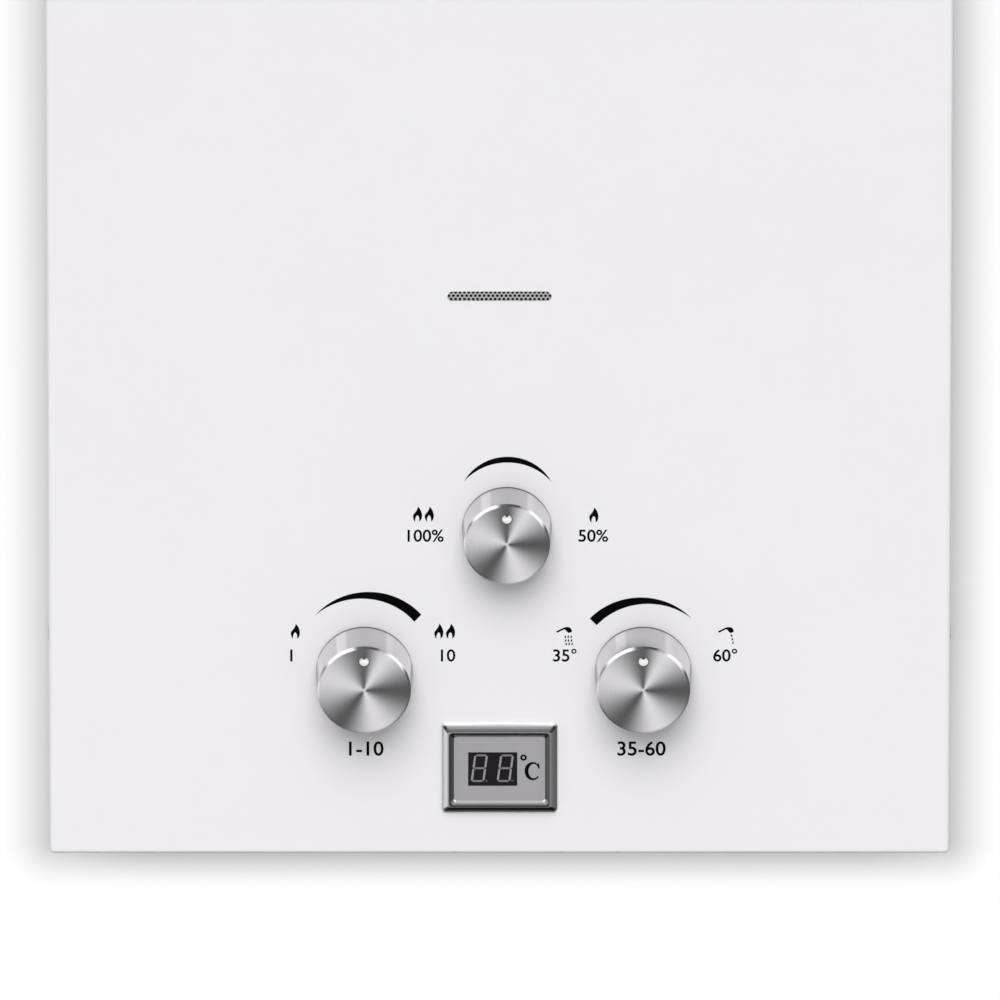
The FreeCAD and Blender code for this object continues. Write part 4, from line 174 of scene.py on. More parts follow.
def stops(output, places):
    """Sets the stops of a colour ramp from pairs of place and sRGB grey level, eased from each to the next."""
    ramp = output.node.color_ramp
    ramp.interpolation = "EASE"
    ramp.elements.remove(ramp.elements[1])
    ramp.elements[0].position = places[0][0]
    ramp.elements[0].color = shade(places[0][1])
    for place, level in places[1:]:
        ramp.elements.new(place).color = shade(level)
    return output


def new_finish(name, base, roughness, metallic=0.0, ior=1.5):
    """A material with one surface shader; returns it with its tree, its shader and the place on the object."""
    material = bpy.data.materials.new(name)
    material.use_nodes = True
    tree = material.node_tree
    shader = tree.nodes["Principled BSDF"]
    plug(shader, {"Base Color": (*base[:3], 1), "Roughness": roughness, "Metallic": metallic, "IOR": ior})
    return material, tree, shader, add(tree, "TexCoord", out="Object")


def vary(shader, pattern, change, spread):
    """Lets a pattern from 0 to 1 vary the colour by a share of it, and the roughness by a spread."""
    tree = shader.id_data
    base, roughness = (shader.inputs[key].default_value for key in ("Base Color", "Roughness"))
    dark = tuple(c * (1 - change) for c in base[:3])
    light = tuple(min(1, c * (1 + change)) for c in base[:3])
    tint = add(tree, "Mix", {0: pattern, 6: (*dark, 1), 7: (*light, 1)}, **MIX_COLOURS)
    gloss = add(tree, "MapRange", [pattern, 0, 1, roughness - spread, roughness + spread])
    plug(shader, {"Base Color": tint, "Roughness": gloss})


def relief(shader, *heights):
    """Chains bumps, each a pattern with its depth in millimetres."""
    inputs = {}
    for pattern, depth in heights:
        inputs = {"Height": pattern, "Distance": depth * MM, "Strength": 1.0, **inputs}
        inputs = {"Normal": add(shader.id_data, "Bump", inputs)}
    plug(shader, inputs)


def dress(material, *names):
    """Gives nodes of the solid model a finish."""
    for name in names:
        node = NODES[name]
        if not node.material_slots:
            node.data.materials.append(material)
        for place in node.material_slots:
            place.material = material


def put(name, data):
    """A new object in the scene."""
    made = bpy.data.objects.new(name, data)
    bpy.context.scene.collection.objects.link(made)
    return made


def aim(made, back):
    """Turns a lamp or a camera so that its back looks along a direction."""
    made.rotation_mode = "QUATERNION"
    made.rotation_quaternion = back.to_track_quat("Z", "Y")


def new_piece(name, mesh, material, body="cabinet"):
    """A piece of the dressed model, which rides on a body."""
    piece = put(name, mesh)
    mesh.materials.append(material)
    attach(piece, body)
    return piece


def prism(work, outline, holes, back, front):
    """Adds a flat plate with an outline and holes, both lists of (x, z) in millimetres, between two depths."""
    rims = []
    for loop in [outline, *holes]:
        corners = [work.verts.new((x * MM, front * MM, z * MM)) for x, z in loop]
        rims += [work.edges.new((a, b)) for a, b in zip(corners, corners[1:] + corners[:1])]
    filled = bmesh.ops.triangle_fill(work, edges=rims, use_beauty=True, use_dissolve=False, normal=(0, -1, 0))
    faces = [f for f in filled["geom"] if isinstance(f, bmesh.types.BMFace)]
    for face in faces:
        if face.normal.y > 0:
            face.normal_flip()
    raised = bmesh.ops.extrude_face_region(work, geom=faces)
    lifted = [v for v in raised["geom"] if isinstance(v, bmesh.types.BMVert)]
    for corner in lifted:
        corner.co.y = front * MM
    for face in faces:
        for corner in face.verts:
            corner.co.y = back * MM


def outward_mesh(name, work):
    """The finished mesh of a closed shape, with its faces turned outward."""
    bmesh.ops.recalc_face_normals(work, faces=work.faces)
    mesh = bpy.data.meshes.new(name)
    work.to_mesh(mesh)
    work.free()
    return mesh


def plate_mesh(name, plates, back, front):
    """A mesh of flat plates; each is an outline with its holes."""
    work = bmesh.new()
    for outline, holes in plates:
        prism(work, outline, holes, back, front)
    return outward_mesh(name, work)


def lay_film(name, outlines, node, height, material):
    """A film of flat plates on the front of a solid; the outlines and the height are in millimetres."""
    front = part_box(node)[0].y / MM
    return new_piece(name, plate_mesh(name, outlines, front, front - height), material)


def oval(x, z, wide, tall, first=0, last=360, count=40):
    """Points along an oval with these half sizes, between two bearings in degrees; a whole one leaves its end out."""
    steps = range(count + (abs(last - first) < 360))
    turns = [math.radians(first + (last - first) * i / count) for i in steps]
    return [(x + wide * math.cos(t), z + tall * math.sin(t)) for t in turns]


def circle_through(a, b, c):
    """Centre and radius of the circle through three points of the panel."""
    (ax, az), (bx, bz), (cx, cz) = a, b, c
    d = 2 * (ax * (bz - cz) + bx * (cz - az) + cx * (az - bz))
    a2, b2, c2 = ax * ax + az * az, bx * bx + bz * bz, cx * cx + cz * cz
    x = (a2 * (bz - cz) + b2 * (cz - az) + c2 * (az - bz)) / d
    z = (a2 * (cx - bx) + b2 * (ax - cx) + c2 * (bx - ax)) / d
    return x, z, math.hypot(ax - x, az - z)


def arc(start, crest, end):
    """Points along the arc from start over crest to end."""
    x, z, radius = circle_through(start, crest, end)
    first, last = (math.degrees(math.atan2(tip[1] - z, tip[0] - x)) for tip in (start, end))
    return oval(x, z, radius, radius, first, last, 48)


def smooth_loop(points, count=10):
    """A closed smooth curve through points; a point given as (x, z, True) stays a sharp corner."""
    loop = []
    total = len(points)
    for i in range(total):
        p0, p1, p2, p3 = (points[(i + k - 1) % total] for k in range(4))
        if len(p1) == 3:
            p0 = p1
        if len(p2) == 3:
            p3 = p2
        for step in range(count):
            t = step / count
            weights = (
                -0.5 * t + t * t - 0.5 * t**3,
                1 - 2.5 * t * t + 1.5 * t**3,
                0.5 * t + 2 * t * t - 1.5 * t**3,
                -0.5 * t * t + 0.5 * t**3,
            )
            loop.append(tuple(sum(w * p[k] for w, p in zip(weights, (p0, p1, p2, p3))) for k in (0, 1)))
    return loop


def skin(work, pairs):
    """Joins pairs of rings of corners with four-sided faces, and returns the faces."""
    faces = []
    for near, far in pairs:
        for i, corner in enumerate(near):
            j = (i + 1) % len(near)
            faces.append(work.faces.new((corner, near[j], far[j], far[i])))
    return faces


def thread_mesh(name, centre, radius, pitch, depth, low, high):
    """A right-hand thread on a sleeve round an upright axis: each point's height along its own turn sets how far it
    stands out, and both ends run out over one pitch. All in metres."""
    around, rows = 72, round(6 * (high - low) / pitch)
    work = bmesh.new()
    rings = []
    for row in range(-1, rows + 2):
        z = low + (high - low) * min(max(row / rows, 0), 1)
        fade = min(1, (z - low) / pitch, (high - z) / pitch)
        ring = []
        for i in range(around):
            crest = abs((z / pitch - i / around) % 1 * 2 - 1) * fade if 0 <= row <= rows else -1
            reach = radius - depth * (1 - crest)
            turn = 2 * math.pi * i / around
            ring.append(work.verts.new((centre.x + reach * math.cos(turn), centre.y + reach * math.sin(turn), z)))
        rings.append(ring)
    skin(work, zip(rings, rings[1:] + rings[:1]))
    return outward_mesh(name, work)


def spring_mesh(name, low, high, wire, turns):
    """A helical spring of round wire along x, which fills the box from low to high. All in metres."""
    steps, sides = 36 * turns, 10
    middle = (low + high) / 2
    radius = (high.z - low.z - wire) / 2
    angles = [2 * math.pi * side / sides for side in range(sides)]
    work = bmesh.new()
    rings = []
    for step in range(steps + 1):
        share, turn = step / steps, 2 * math.pi * turns * step / steps
        out = Vector((0, math.sin(turn), -math.cos(turn)))
        centre = Vector((low.x + wire / 2 + (high.x - low.x - wire) * share, middle.y, middle.z)) + radius * out
        points = [centre + wire / 2 * (math.cos(a) * out + math.sin(a) * Vector((1, 0, 0))) for a in angles]
        rings.append([work.verts.new(point) for point in points])
    for face in skin(work, zip(rings, rings[1:])):
        face.smooth = True
    for tip in (rings[0], rings[-1]):
        work.faces.new(tip)
    return outward_mesh(name, work)


# Finishes, each named for what the real one is


def mottled(name, base, roughness, change, spread, patterns, metallic=0, ior=1.5, sheen=0.5, flow=0):
    """A finish of noise patterns, each with the size of its features in mm, its detail and its relief's depth in mm.
    The first one also varies the colour and the gloss, and flow distorts it."""
    material, tree, shader, place = new_finish(name, base, roughness, metallic, ior)
    plug(shader, {"Specular IOR Level": sheen})
    heights = []
    for size, detail, depth in patterns:
        warp = 0 if heights else flow
        inputs = {"Vector": place, "Scale": per_mm(size), "Detail": detail, "Distortion": warp}
        noise = add(tree, "TexNoise", inputs)
        if not heights:
            vary(shader, noise, change, spread)
        heights.append((noise, depth))
    relief(shader, *(pair for pair in heights if pair[1]))
    return material


def powder_coat(name, base):
    """Baked polyester powder on steel: an even satin with a fine orange peel, which softens each reflection."""
    return mottled(name, base, 0.42, 0.012, 0.05, [(70, 3, 0), (1.6, 2, 0.012), (0.5, 1, 0.003)])


def galvanised_sheet(name, base):
    """Hot-dip zinc: flat crystals of several millimetres, each with its own grey and gloss."""
    material, tree, shader, place = new_finish(name, base, 0.44, 0.85)
    crystal = add(tree, "TexVoronoi", {"Vector": place, "Scale": per_mm(11)}, "Color")
    level = add(tree, "SeparateColor", [crystal])
    grain = add(tree, "TexNoise", {"Vector": place, "Scale": per_mm(2.5), "Detail": 4})
    vary(shader, add(tree, "Mix", {0: 0.35, 2: level, 3: grain}), 0.28, 0.12)
    relief(shader, (grain, 0.008), (level, 0.004))
    return material


def rolled_sheet(name, base, roughness, along=(1, 1, 14), line=0.5):
    """Cold-rolled or drawn metal: fine lines along the working direction, which streak the gloss."""
    material, tree, shader, place = new_finish(name, base, roughness, 1)
    stretch = add(tree, "Mapping", {"Vector": place, "Scale": tuple(1 / a for a in along)})
    lines = add(tree, "TexNoise", {"Vector": stretch, "Scale": per_mm(line), "Detail": 3})
    stain = add(tree, "TexNoise", {"Vector": place, "Scale": per_mm(25), "Detail": 5})
    vary(shader, add(tree, "Mix", {0: 0.5, 2: lines, 3: stain}), 0.14, 0.1)
    relief(shader, (lines, 0.006))
    return material


def turned_metal(name, base, roughness, change=0.18):
    """Machined or plated metal: faint tool rings and a thin uneven tarnish."""
    material, tree, shader, place = new_finish(name, base, roughness, 1)
    ring_scale = per_mm(0.9) / 6.28  # 6.28 is the wave's own turn
    rings = add(tree, "TexWave", {"Vector": place, "Scale": ring_scale, "Distortion": 1.5}, bands_direction="Z")
    tarnish = add(tree, "TexNoise", {"Vector": place, "Scale": per_mm(9), "Detail": 6})
    vary(shader, tarnish, change, 0.1)
    relief(shader, (rings, 0.004), (tarnish, 0.01))
    return material


def cast_metal(name, base):
    """Die-cast zinc: a dull grainy skin with pale flow marks."""
    return mottled(name, base, 0.5, 0.16, 0.1, [(14, 4, 0), (0.9, 4, 0.03)], metallic=0.9, flow=1.2)


def moulded_plastic(name, base, roughness=0.45, grain=0.7):
    """Moulded ABS: spark-eroded grain, which breaks the gloss into a fine satin."""
    material, tree, shader, place = new_finish(name, base, roughness, ior=1.53)
    eroded = add(tree, "TexVoronoi", {"Vector": place, "Scale": per_mm(grain)}, "Distance")
    sink = add(tree, "TexNoise", {"Vector": place, "Scale": per_mm(20), "Detail": 2})
    vary(shader, sink, 0.1, 0.06)
    relief(shader, (eroded, 0.02))
    return material


def cured_rubber(name, base):
    """Moulded rubber: almost no gloss, with a bloom of paler dust over fine pores."""
    return mottled(name, base, 0.78, 0.25, 0.08, [(12, 6, 0), (0.6, 2, 0.02)], ior=1.52)


def fired_ceramic(name):
    """Fired alumina: white, dense and slightly glossy, with faint specks."""
    return mottled(name, linear("ECE8DF"), 0.3, 0.06, 0.08, [(0.8, 5, 0.01)], ior=1.76)


def coated_board(name):
    """Glass-epoxy board under green resist: copper tracks show as paler lines."""
    material, tree, shader, place = new_finish(name, linear("1F5A3C"), 0.32)
    lines = {"Vector": place, "Scale": per_mm(5), "Mortar Size": 0.06, "Color1": shade(0.3)}
    level = add(tree, "SeparateColor", [add(tree, "TexBrick", lines)])
    weave = add(tree, "TexNoise", {"Vector": place, "Scale": per_mm(0.6), "Detail": 1})
    vary(shader, level, 0.3, 0.05)
    relief(shader, (level, 0.03), (weave, 0.004))
    return material


def spun_aluminium(name, base, width, dimple_rise):
    """Spun and lathe-turned aluminium: a radial anisotropic reflection, with bright and dark reflection sectors round
    the axis painted into the base colour. width is the cap's own, and dimple_rise the dimple's height over the axis, in
    mm."""
    material, tree, shader, place = new_finish(name, base, 0.3, 1)
    coordinates = place.node.outputs

    # Distances from the axis in mm, and the bearing as a share of a turn: 0.5 is up, and it grows clockwise.
    centred = add(tree, "VectorMath", [coordinates["Generated"], (0.5, 0.5, 0.5)], operation="SUBTRACT")
    sized = add(tree, "VectorMath", {0: centred, "Scale": width}, operation="SCALE")
    x, _, z = add(tree, "SeparateXYZ", [sized]).node.outputs
    turn = add(tree, "Math", [x, z], operation="ARCTAN2")
    share = add(tree, "MapRange", [turn, -math.pi, math.pi])
    flat = add(tree, "CombineXYZ", {0: x, 2: z})
    radius = add(tree, "VectorMath", [flat], "Value", operation="LENGTH")

    # The face's fan of painted reflection sectors starts at its dark sector at the lower left.
    from_dark = add(tree, "Math", [share, -0.095], operation="ADD")
    face = stops(
        add(tree, "ValToRGB", {0: add(tree, "Math", [from_dark], operation="FRACT")}),
        [(0, 0.385), (0.21, 0.955), (0.405, 0.4), (0.491, 0.92), (0.655, 0.4), (0.841, 0.92), (1, 0.385)],
    )
    # The wall's ramp paints reflection strips round the cap.
    left_wall = [(0, 0.7), (0.25, 0.45), (0.275, 0.55), (0.3, 0.92), (0.33, 0.88), (0.395, 0.87), (0.408, 0.97)]
    top_wall = [(0.432, 0.95), (0.446, 0.84), (0.5, 0.8), (0.57, 0.83), (0.585, 0.93)]
    right_wall = [(0.62, 0.88), (0.67, 0.89), (0.7, 0.92), (0.725, 0.55), (0.75, 0.45)]
    wall = stops(add(tree, "ValToRGB", [share]), left_wall + top_wall + right_wall)
    # Bearings of the painted highlights and of the painted dark reflection on the chamfer.
    gleams = [(0.33, 0), (0.37, 1), (0.45, 1), (0.48, 0), (0.57, 0), (0.6, 1), (0.65, 1), (0.69, 0)]
    arcs = stops(add(tree, "ValToRGB", [share]), gleams)
    painted_dark_reflection = stops(add(tree, "ValToRGB", [share]), [(0.49, 0), (0.51, 1), (0.54, 1), (0.565, 0)])

    # The wall darkens in its last millimetre over the panel, where the gap's shade lies.
    depth = add(tree, "SeparateXYZ", [coordinates["Object"]], "Y")
    foot = add(tree, "MapRange", [depth, -152.4 * MM, -151.4 * MM])
    wall = add(tree, "Mix", {0: foot, 6: wall, 7: shade(0.3)}, **MIX_COLOURS)
    facing = add(tree, "SeparateXYZ", [coordinates["Normal"]], "Y")
    in_front = add(tree, "MapRange", [facing, -0.35, -0.55])
    sectors = add(tree, "Mix", {0: in_front, 6: wall, 7: face}, **MIX_COLOURS)

    # The tool's rings vary the tone a little, and its last turn leaves a pale point.
    rings = add(tree, "TexNoise", {"W": radius, "Scale": 1.4, "Detail": 3}, noise_dimensions="1D")
    ring_level = add(tree, "MapRange", [rings, 0, 1, 0.95, 1.04])
    tint = add(tree, "VectorMath", {0: sectors, "Scale": ring_level}, operation="SCALE")
    point = add(tree, "MapRange", [radius, 0.9, 0.3])
    tint = add(tree, "Mix", {0: point, 6: tint, 7: shade(0.9)}, **MIX_COLOURS)
    hue = tuple(c / max(base[:3]) for c in base[:3])
    tint = add(tree, "VectorMath", [tint, hue], operation="MULTIPLY")

    # The chamfer gets a painted reflection of the sky as two white arcs and a painted dark reflection of the room;
    # inner is how far in each starts.
    for marks, inner, level in ((painted_dark_reflection, 1.4, 0.34), (arcs, 1.75, 0.99)):
        edge = width / 2 - inner
        rim = add(tree, "MapRange", [radius, edge, edge + 0.2])
        on_rim = add(tree, "Math", [rim, in_front], operation="MULTIPLY")
        part = add(tree, "SeparateColor", [marks])
        painted_glint = add(tree, "Math", [on_rim, part], operation="MULTIPLY")
        tint = add(tree, "Mix", {0: painted_glint, 6: tint, 7: shade(level)}, **MIX_COLOURS)

    # The dimple gets a painted reflection: the dark ceiling as a notch at its top and the bright wall at its middle,
    # painted shade towards its bottom, and painted shade in a ring round its lip.
    from_dimple = add(tree, "VectorMath", [flat, (0, 0, dimple_rise)], "Value", operation="DISTANCE")
    in_dimple = add(tree, "MapRange", [from_dimple, 1.85, 1.65])
    lip = add(tree, "MapRange", [from_dimple, 2.25, 1.95, 0, 0.8])
    aside = add(tree, "Math", [x], operation="ABSOLUTE")
    rise = add(tree, "Math", [z, -dimple_rise], operation="ADD")
    wedge = add(tree, "Math", [aside, -1.2, rise], operation="MULTIPLY_ADD")
    notch = add(tree, "MapRange", [wedge, 0.2, 0.6])
    low = add(tree, "MapRange", [rise, -0.5, -1.8])
    painted_dimple_reflection = add(tree, "Mix", {0: low, 6: shade(0.98), 7: shade(0.72)}, **MIX_COLOURS)
    painted_dimple_reflection = add(tree, "Mix", {0: notch, 6: painted_dimple_reflection, 7: shade(0.25)}, **MIX_COLOURS)
    for part, over in (lip, shade(0.3)), (in_dimple, painted_dimple_reflection):
        tint = add(tree, "Mix", {0: part, 6: tint, 7: over}, **MIX_COLOURS)
    # Where highlights and the dimple's reflection are painted, the metallic falls so that their painted colour shows.
    pale = add(tree, "Math", [painted_glint, in_dimple], operation="MAXIMUM")
    metallic = add(tree, "MapRange", [pale, 0, 1, 1, 0.15])
    tangent = add(tree, "Tangent", direction_type="RADIAL", axis="Y")
    plug(shader, {"Base Color": tint, "Metallic": metallic, "Anisotropic": 0.6, "Tangent": tangent})
    relief(shader, (rings, 0.008))
    return material


def plated_chrome(name, base):
    """Chromium over moulded plastic, a real mirror with painted reflections: each side's base colour holds painted
    tones of a bright ceiling and a dark floor, which run across the bar (u of the map, from the outer edge in) as its
    rounding turns, and v is the side's bearing."""
    material, tree, shader, place = new_finish(name, base, 0.1, 1)
    across, bearing, _ = add(tree, "SeparateXYZ", [place.node.outputs["UV"]]).node.outputs
    turn = add(tree, "Math", [bearing, 2 * math.pi], operation="MULTIPLY")
    upward = add(tree, "Math", [turn], operation="COSINE")
    rightward = add(tree, "Math", [turn], operation="SINE")
    top_outer = [(0.07, 1), (0.13, 0.78), (0.22, 0.62), (0.35, 0.58), (0.47, 0.76)]
    top = top_outer + [(0.56, 0.62), (0.7, 0.38), (0.82, 0.56), (1, 0.44)]
    bottom_outer = [(0.3, 0.08), (0.42, 0.14), (0.5, 0.24), (0.58, 0.38)]
    bottom = bottom_outer + [(0.67, 0.53), (0.75, 0.64), (0.9, 0.7), (0.96, 0.84)]
    left = [(0, 0.7), (0.1, 0.76), (0.42, 0.77), (0.53, 0.62), (0.63, 0.29), (0.73, 0.24), (0.86, 0.34)]
    right = [(0, 0.36), (0.15, 0.4), (0.45, 0.48), (0.55, 0.54), (0.64, 0.36), (0.72, 0.31), (1, 0.33)]
    # The painted reflection: each side's ramp, weighted by how far the bar faces that side.
    tone = (0, 0, 0)
    for towards, sign, places in (upward, 1, top), (upward, -1, bottom), (rightward, -1, left), (rightward, 1, right):
        ramp = stops(add(tree, "ValToRGB", [across]), places)
        ahead = add(tree, "Math", [towards, sign], operation="MULTIPLY", use_clamp=True)
        weight = add(tree, "Math", [ahead, 2], operation="POWER")
        part = add(tree, "VectorMath", {0: ramp, "Scale": weight}, operation="SCALE")
        tone = add(tree, "VectorMath", [part, tone], operation="ADD")

    # A painted highlight in each lower corner, where two roundings of the inner step meet.
    inner = add(tree, "MapRange", [across, 0.7, 0.8])
    mitre = add(tree, "Math", [upward, rightward], operation="MULTIPLY")
    mitre = add(tree, "Math", [mitre], operation="ABSOLUTE")
    below = add(tree, "Math", [upward, -3], operation="MULTIPLY", use_clamp=True)
    bright = mitre
    for factor in (below, inner, 2.2):
        bright = add(tree, "Math", [bright, factor], operation="MULTIPLY")
    tone = add(tree, "VectorMath", [tone, bright], operation="ADD")
    hue = tuple(c / max(base[:3]) for c in base[:3])
    tone = add(tree, "VectorMath", [tone, hue], operation="MULTIPLY")

    # The outer top edge and the inner bottom edge are painted highlights, which keep their tone under any light as
    # their metallic falls, and a faint haze varies the gloss.
    outermost = add(tree, "MapRange", [across, 0.13, 0.07])
    painted_lit_edges = add(tree, "Math", [upward, outermost], operation="MULTIPLY", use_clamp=True)
    innermost = add(tree, "MapRange", [across, 0.9, 0.96])
    lower = add(tree, "Math", [innermost, below], operation="MULTIPLY")
    painted_lit_edges = add(tree, "Math", [painted_lit_edges, lower], operation="MAXIMUM")
    metallic = add(tree, "MapRange", [painted_lit_edges, 0, 1, 1, 0.4])
    haze = add(tree, "TexNoise", {"Vector": place, "Scale": per_mm(2), "Detail": 4})
    gloss = add(tree, "MapRange", [haze, 0, 1, 0.06, 0.14])
    plug(shader, {"Base Color": tone, "Metallic": metallic, "Roughness": gloss})
    wave = add(tree, "TexNoise", {"Vector": place, "Scale": per_mm(7), "Detail": 1})
    relief(shader, (wave, 0.02))
    return material


def satin_lens(name, base):
    """Silk-screened polycarbonate: smooth, with a satin that takes a soft gradient."""
    return mottled(name, base, 0.34, 0.03, 0.04, [(16, 2, 0), (0.4, 2, 0.002)], ior=1.585)


def filled_epoxy(name, base, roughness, sheen=0.5):
    """Cast epoxy and painted bars of a digit block: even and half glossy, or duller behind a smoked filter."""
    return mottled(name, base, roughness, 0.08, 0.05, [(3, 3, 0.004)], ior=1.55, sheen=sheen)


def printed_ink(name, base):
    """Screen-printed ink: opaque, dense and flat, so it hardly reflects, with the mesh's slight unevenness."""
    return mottled(name, base, 0.6, 0.1, 0.08, [(0.5, 2, 0.004)], sheen=0.06)


# Operators, one for each piece or group of like pieces


class HeaterOperator:
    bl_options = {"REGISTER", "UNDO"}


class HEATER_OT_cabinet(HeaterOperator, bpy.types.Operator):
    """Paints the front cover and zinc-coats the chassis behind it"""

    bl_idname = "heater.cabinet"
    bl_label = "Cabinet"

    def execute(self, context):
        look = context.scene.heater_finishes
        dress(powder_coat("cover_powder_coat", look.cover), "front_cover")
        chassis = galvanised_sheet("chassis_galvanised", look.zinc)
        dress(chassis, "back_plate", "bottom_plate", "burner_frame", "flue_hood", "support_brackets", "handle_brackets")
        dress(turned_metal("screw_zinc_plated", linear("B9BCC0"), 0.3), "cabinet_screws", "valve_screws")
        dress(rolled_sheet("flue_cap_stainless", linear("CDCBC9"), 0.34, (14, 1, 1)), "flue_cap", "burner_bars")
        dress(rolled_sheet("window_mesh_stainless", linear("BAB9BA"), 0.26, (6, 1, 1)), "window_strip")
        return {"FINISHED"}


DIMPLE_RISES = {"gas_knob": 11.3, "water_knob": 11.3, "season_knob": 9.95}  # mm from the axis up


class HEATER_OT_knobs(HeaterOperator, bpy.types.Operator):
    """Finishes the three knobs, their cores and their spindles"""

    bl_idname = "heater.knobs"
    bl_label = "Knobs"

    def execute(self, context):
        look = context.scene.heater_finishes
        for name, rise in DIMPLE_RISES.items():
            low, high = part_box(name)
            dress(spun_aluminium(f"{name}_spun_aluminium", look.aluminium, (high.x - low.x) / MM, rise), name)
        core = moulded_plastic("knob_core_white_abs", linear("E6E5E2"), 0.4)
        dress(core, "gas_knob_core", "water_knob_core", "season_knob_core")
        brass = turned_metal("spindle_brass", look.brass, 0.28)
        dress(brass, "gas_spindle", "water_spindle", "season_spindle", "spindle_glands")
        return {"FINISHED"}


# Six points of each arc in mm: its outer edge over its crest, and its inner edge back.
ARCS = {
    "season_arc": ((-12.97, 147.39), (3, 157.13), (19, 147.2), (19, 147.2), (3, 154.88), (-12.97, 147.39)),
    "gas_arc": ((-67.49, 94.54), (-47.76, 103.84), (-28.61, 94.86), (-31.17, 92.06), (-49.99, 101.2), (-67.49, 94.54)),
    "water_arc": ((33, 93.32), (52.47, 101.64), (70.27, 93.44), (70.27, 93.44), (52.73, 99.08), (35.55, 90.68)),
}


class HEATER_OT_arcs(HeaterOperator, bpy.types.Operator):
    """Prints the swelling arcs over the knobs"""

    bl_idname = "heater.arcs"
    bl_label = "Printed arcs"

    def execute(self, context):
        ink = printed_ink("panel_ink", context.scene.heater_finishes.ink)
        height = context.scene.heater_sizes.ink_height / MM
        closest = 0.05  # mm: points of the inner edge nearer than this to a tip are left out
        for name, points in ARCS.items():
            outer, inner = arc(*points[:3]), arc(*points[3:])
            outline = outer + [p for p in inner if min(math.dist(p, tip) for tip in (outer[0], outer[-1])) > closest]
            lay_film(name, [(outline, [])], "front_cover", height, ink)
        return {"FINISHED"}


# Outlines of a flame, in shares of its width and height, and of a shower head and a drop, in mm. True marks a sharp
# corner. A shower head stands at x and z, over the rows of its drops, each with its left end and its number of drops.
FLAME_EDGE = [
    (0.045, 1, True), (0.3, 0.8), (0.465, 0.56), (0.495, 0.38), (0.41, 0.15), (0.18, 0, True),
    (0.185, 0.17), (0.14, 0.32), (0, 0.42), (-0.15, 0.35), (-0.265, 0.16), (-0.245, 0, True),
    (-0.4, 0.09), (-0.49, 0.27), (-0.485, 0.44), (-0.26, 0.61), (-0.06, 0.79),
]
FLAME_PLACES = [(-29.95, 131.55), (-25.65, 131.55), (34.5, 131.2), (-74.7, 85.35), (-22.2, 85.35), (-17.9, 85.35)]
SHOWER_EDGE = [
    (0.08, 0.2), (1.5, 1.02), (2.45, 1.52), (3.35, 1.86), (4.1, 1.92), (4.9, 1.76), (5.45, 1.15), (5.78, 0.45),
    (5.45, -0.1), (4.55, -0.4), (4, 0.02), (3.5, 0.66), (3, 0.98), (2.4, 0.76), (1.5, 0.28), (0.68, -0.22),
    (0.2, -0.18),
]
DROP_EDGE = [(-0.05, 0), (0.2, 0.15), (0.27, 0.55), (0.16, 1), (-0.1, 0.98), (-0.25, 0.5), (-0.22, 0.12)]
DROP_STEP = 1.07
SHOWERS = (
    (20.75, 88.05, ((24.08, 85.6), (24.2, 84.15), (24.42, 82.75)), 3),
    (79.95, 88.05, ((84.86, 86.05), (85.18, 84.65), (85.46, 83.25)), 1),
)


class HEATER_OT_marks(HeaterOperator, bpy.types.Operator):
    """Prints the flames and the shower heads with their drops"""

    bl_idname = "heater.marks"
    bl_label = "Printed marks"

    def execute(self, context):
        sizes = context.scene.heater_sizes
        ink = bpy.data.materials["panel_ink"]
        height = sizes.ink_height / MM
        wide, tall = sizes.flame_width / MM, sizes.flame_height / MM
        flames = []
        for x, z in FLAME_PLACES:
            flames.append((smooth_loop([(x + p[0] * wide, z + p[1] * tall, *p[2:]) for p in FLAME_EDGE]), []))
        lay_film("flame_marks", flames, "front_cover", height, ink)
        showers = []
        for x, z, rows, drops in SHOWERS:
            showers.append((smooth_loop([(x + px, z + pz) for px, pz in SHOWER_EDGE]), []))
            for left, low in rows:
                for column in range(drops):
                    edge = [(left + column * DROP_STEP + px, low + pz) for px, pz in DROP_EDGE]
                    showers.append((smooth_loop(edge, 4), []))
        lay_film("shower_marks", showers, "front_cover", height, ink)
        return {"FINISHED"}


# Each numeral's text, its middle and foot in mm, and whether it is a caption.
NUMERALS = {
    "season_high_numeral": ("100%", (-27.6, 123.75), 0),
    "season_low_numeral": ("50%", (34.2, 123.75), 0),
    "gas_low_numeral": ("1", (-76.2, 76.45), 0),
    "gas_high_numeral": ("10", (-19.4, 76.45), 0),
    "water_low_numeral": ("35°", (23.9, 76.45), 0),
    "water_high_numeral": ("60°", (82.7, 76.45), 0),
    "gas_caption": ("1-10", (-49.5, 39.2), 1),
    "water_caption": ("35-60", (51.9, 39.2), 1),
}


class HEATER_OT_numerals(HeaterOperator, bpy.types.Operator):
    """Prints plain numerals beside and below the knobs"""

    bl_idname = "heater.numerals"
    bl_label = "Printed numerals"

    def execute(self, context):
        sizes = context.scene.heater_sizes
        ink = bpy.data.materials["panel_ink"]
        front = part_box("front_cover")[0].y
        figure_share, weight = 0.69, 0.014  # a figure's height and its strokes' growth, in shares of the type size
        for name, (text, (x, z), large) in NUMERALS.items():
            curve = bpy.data.curves.new(name, "FONT")
            curve.body = text
            curve.align_x = "CENTER"
            curve.size = (sizes.caption_height if large else sizes.numeral_height) / figure_share
            curve.offset = curve.size * weight
            curve.extrude = sizes.ink_height / 2
            curve.resolution_u = 6
            holder = put(name, curve)
            mesh = bpy.data.meshes.new_from_object(holder.evaluated_get(context.evaluated_depsgraph_get()))
            bpy.data.objects.remove(holder)
            for corner in mesh.vertices:
                px, pz, py = corner.co
                corner.co = (px + x * MM, front - sizes.ink_height / 2 - py, pz + z * MM)
            mesh.update()
            mesh.materials.clear()
            new_piece(name, mesh, ink)
        return {"FINISHED"}


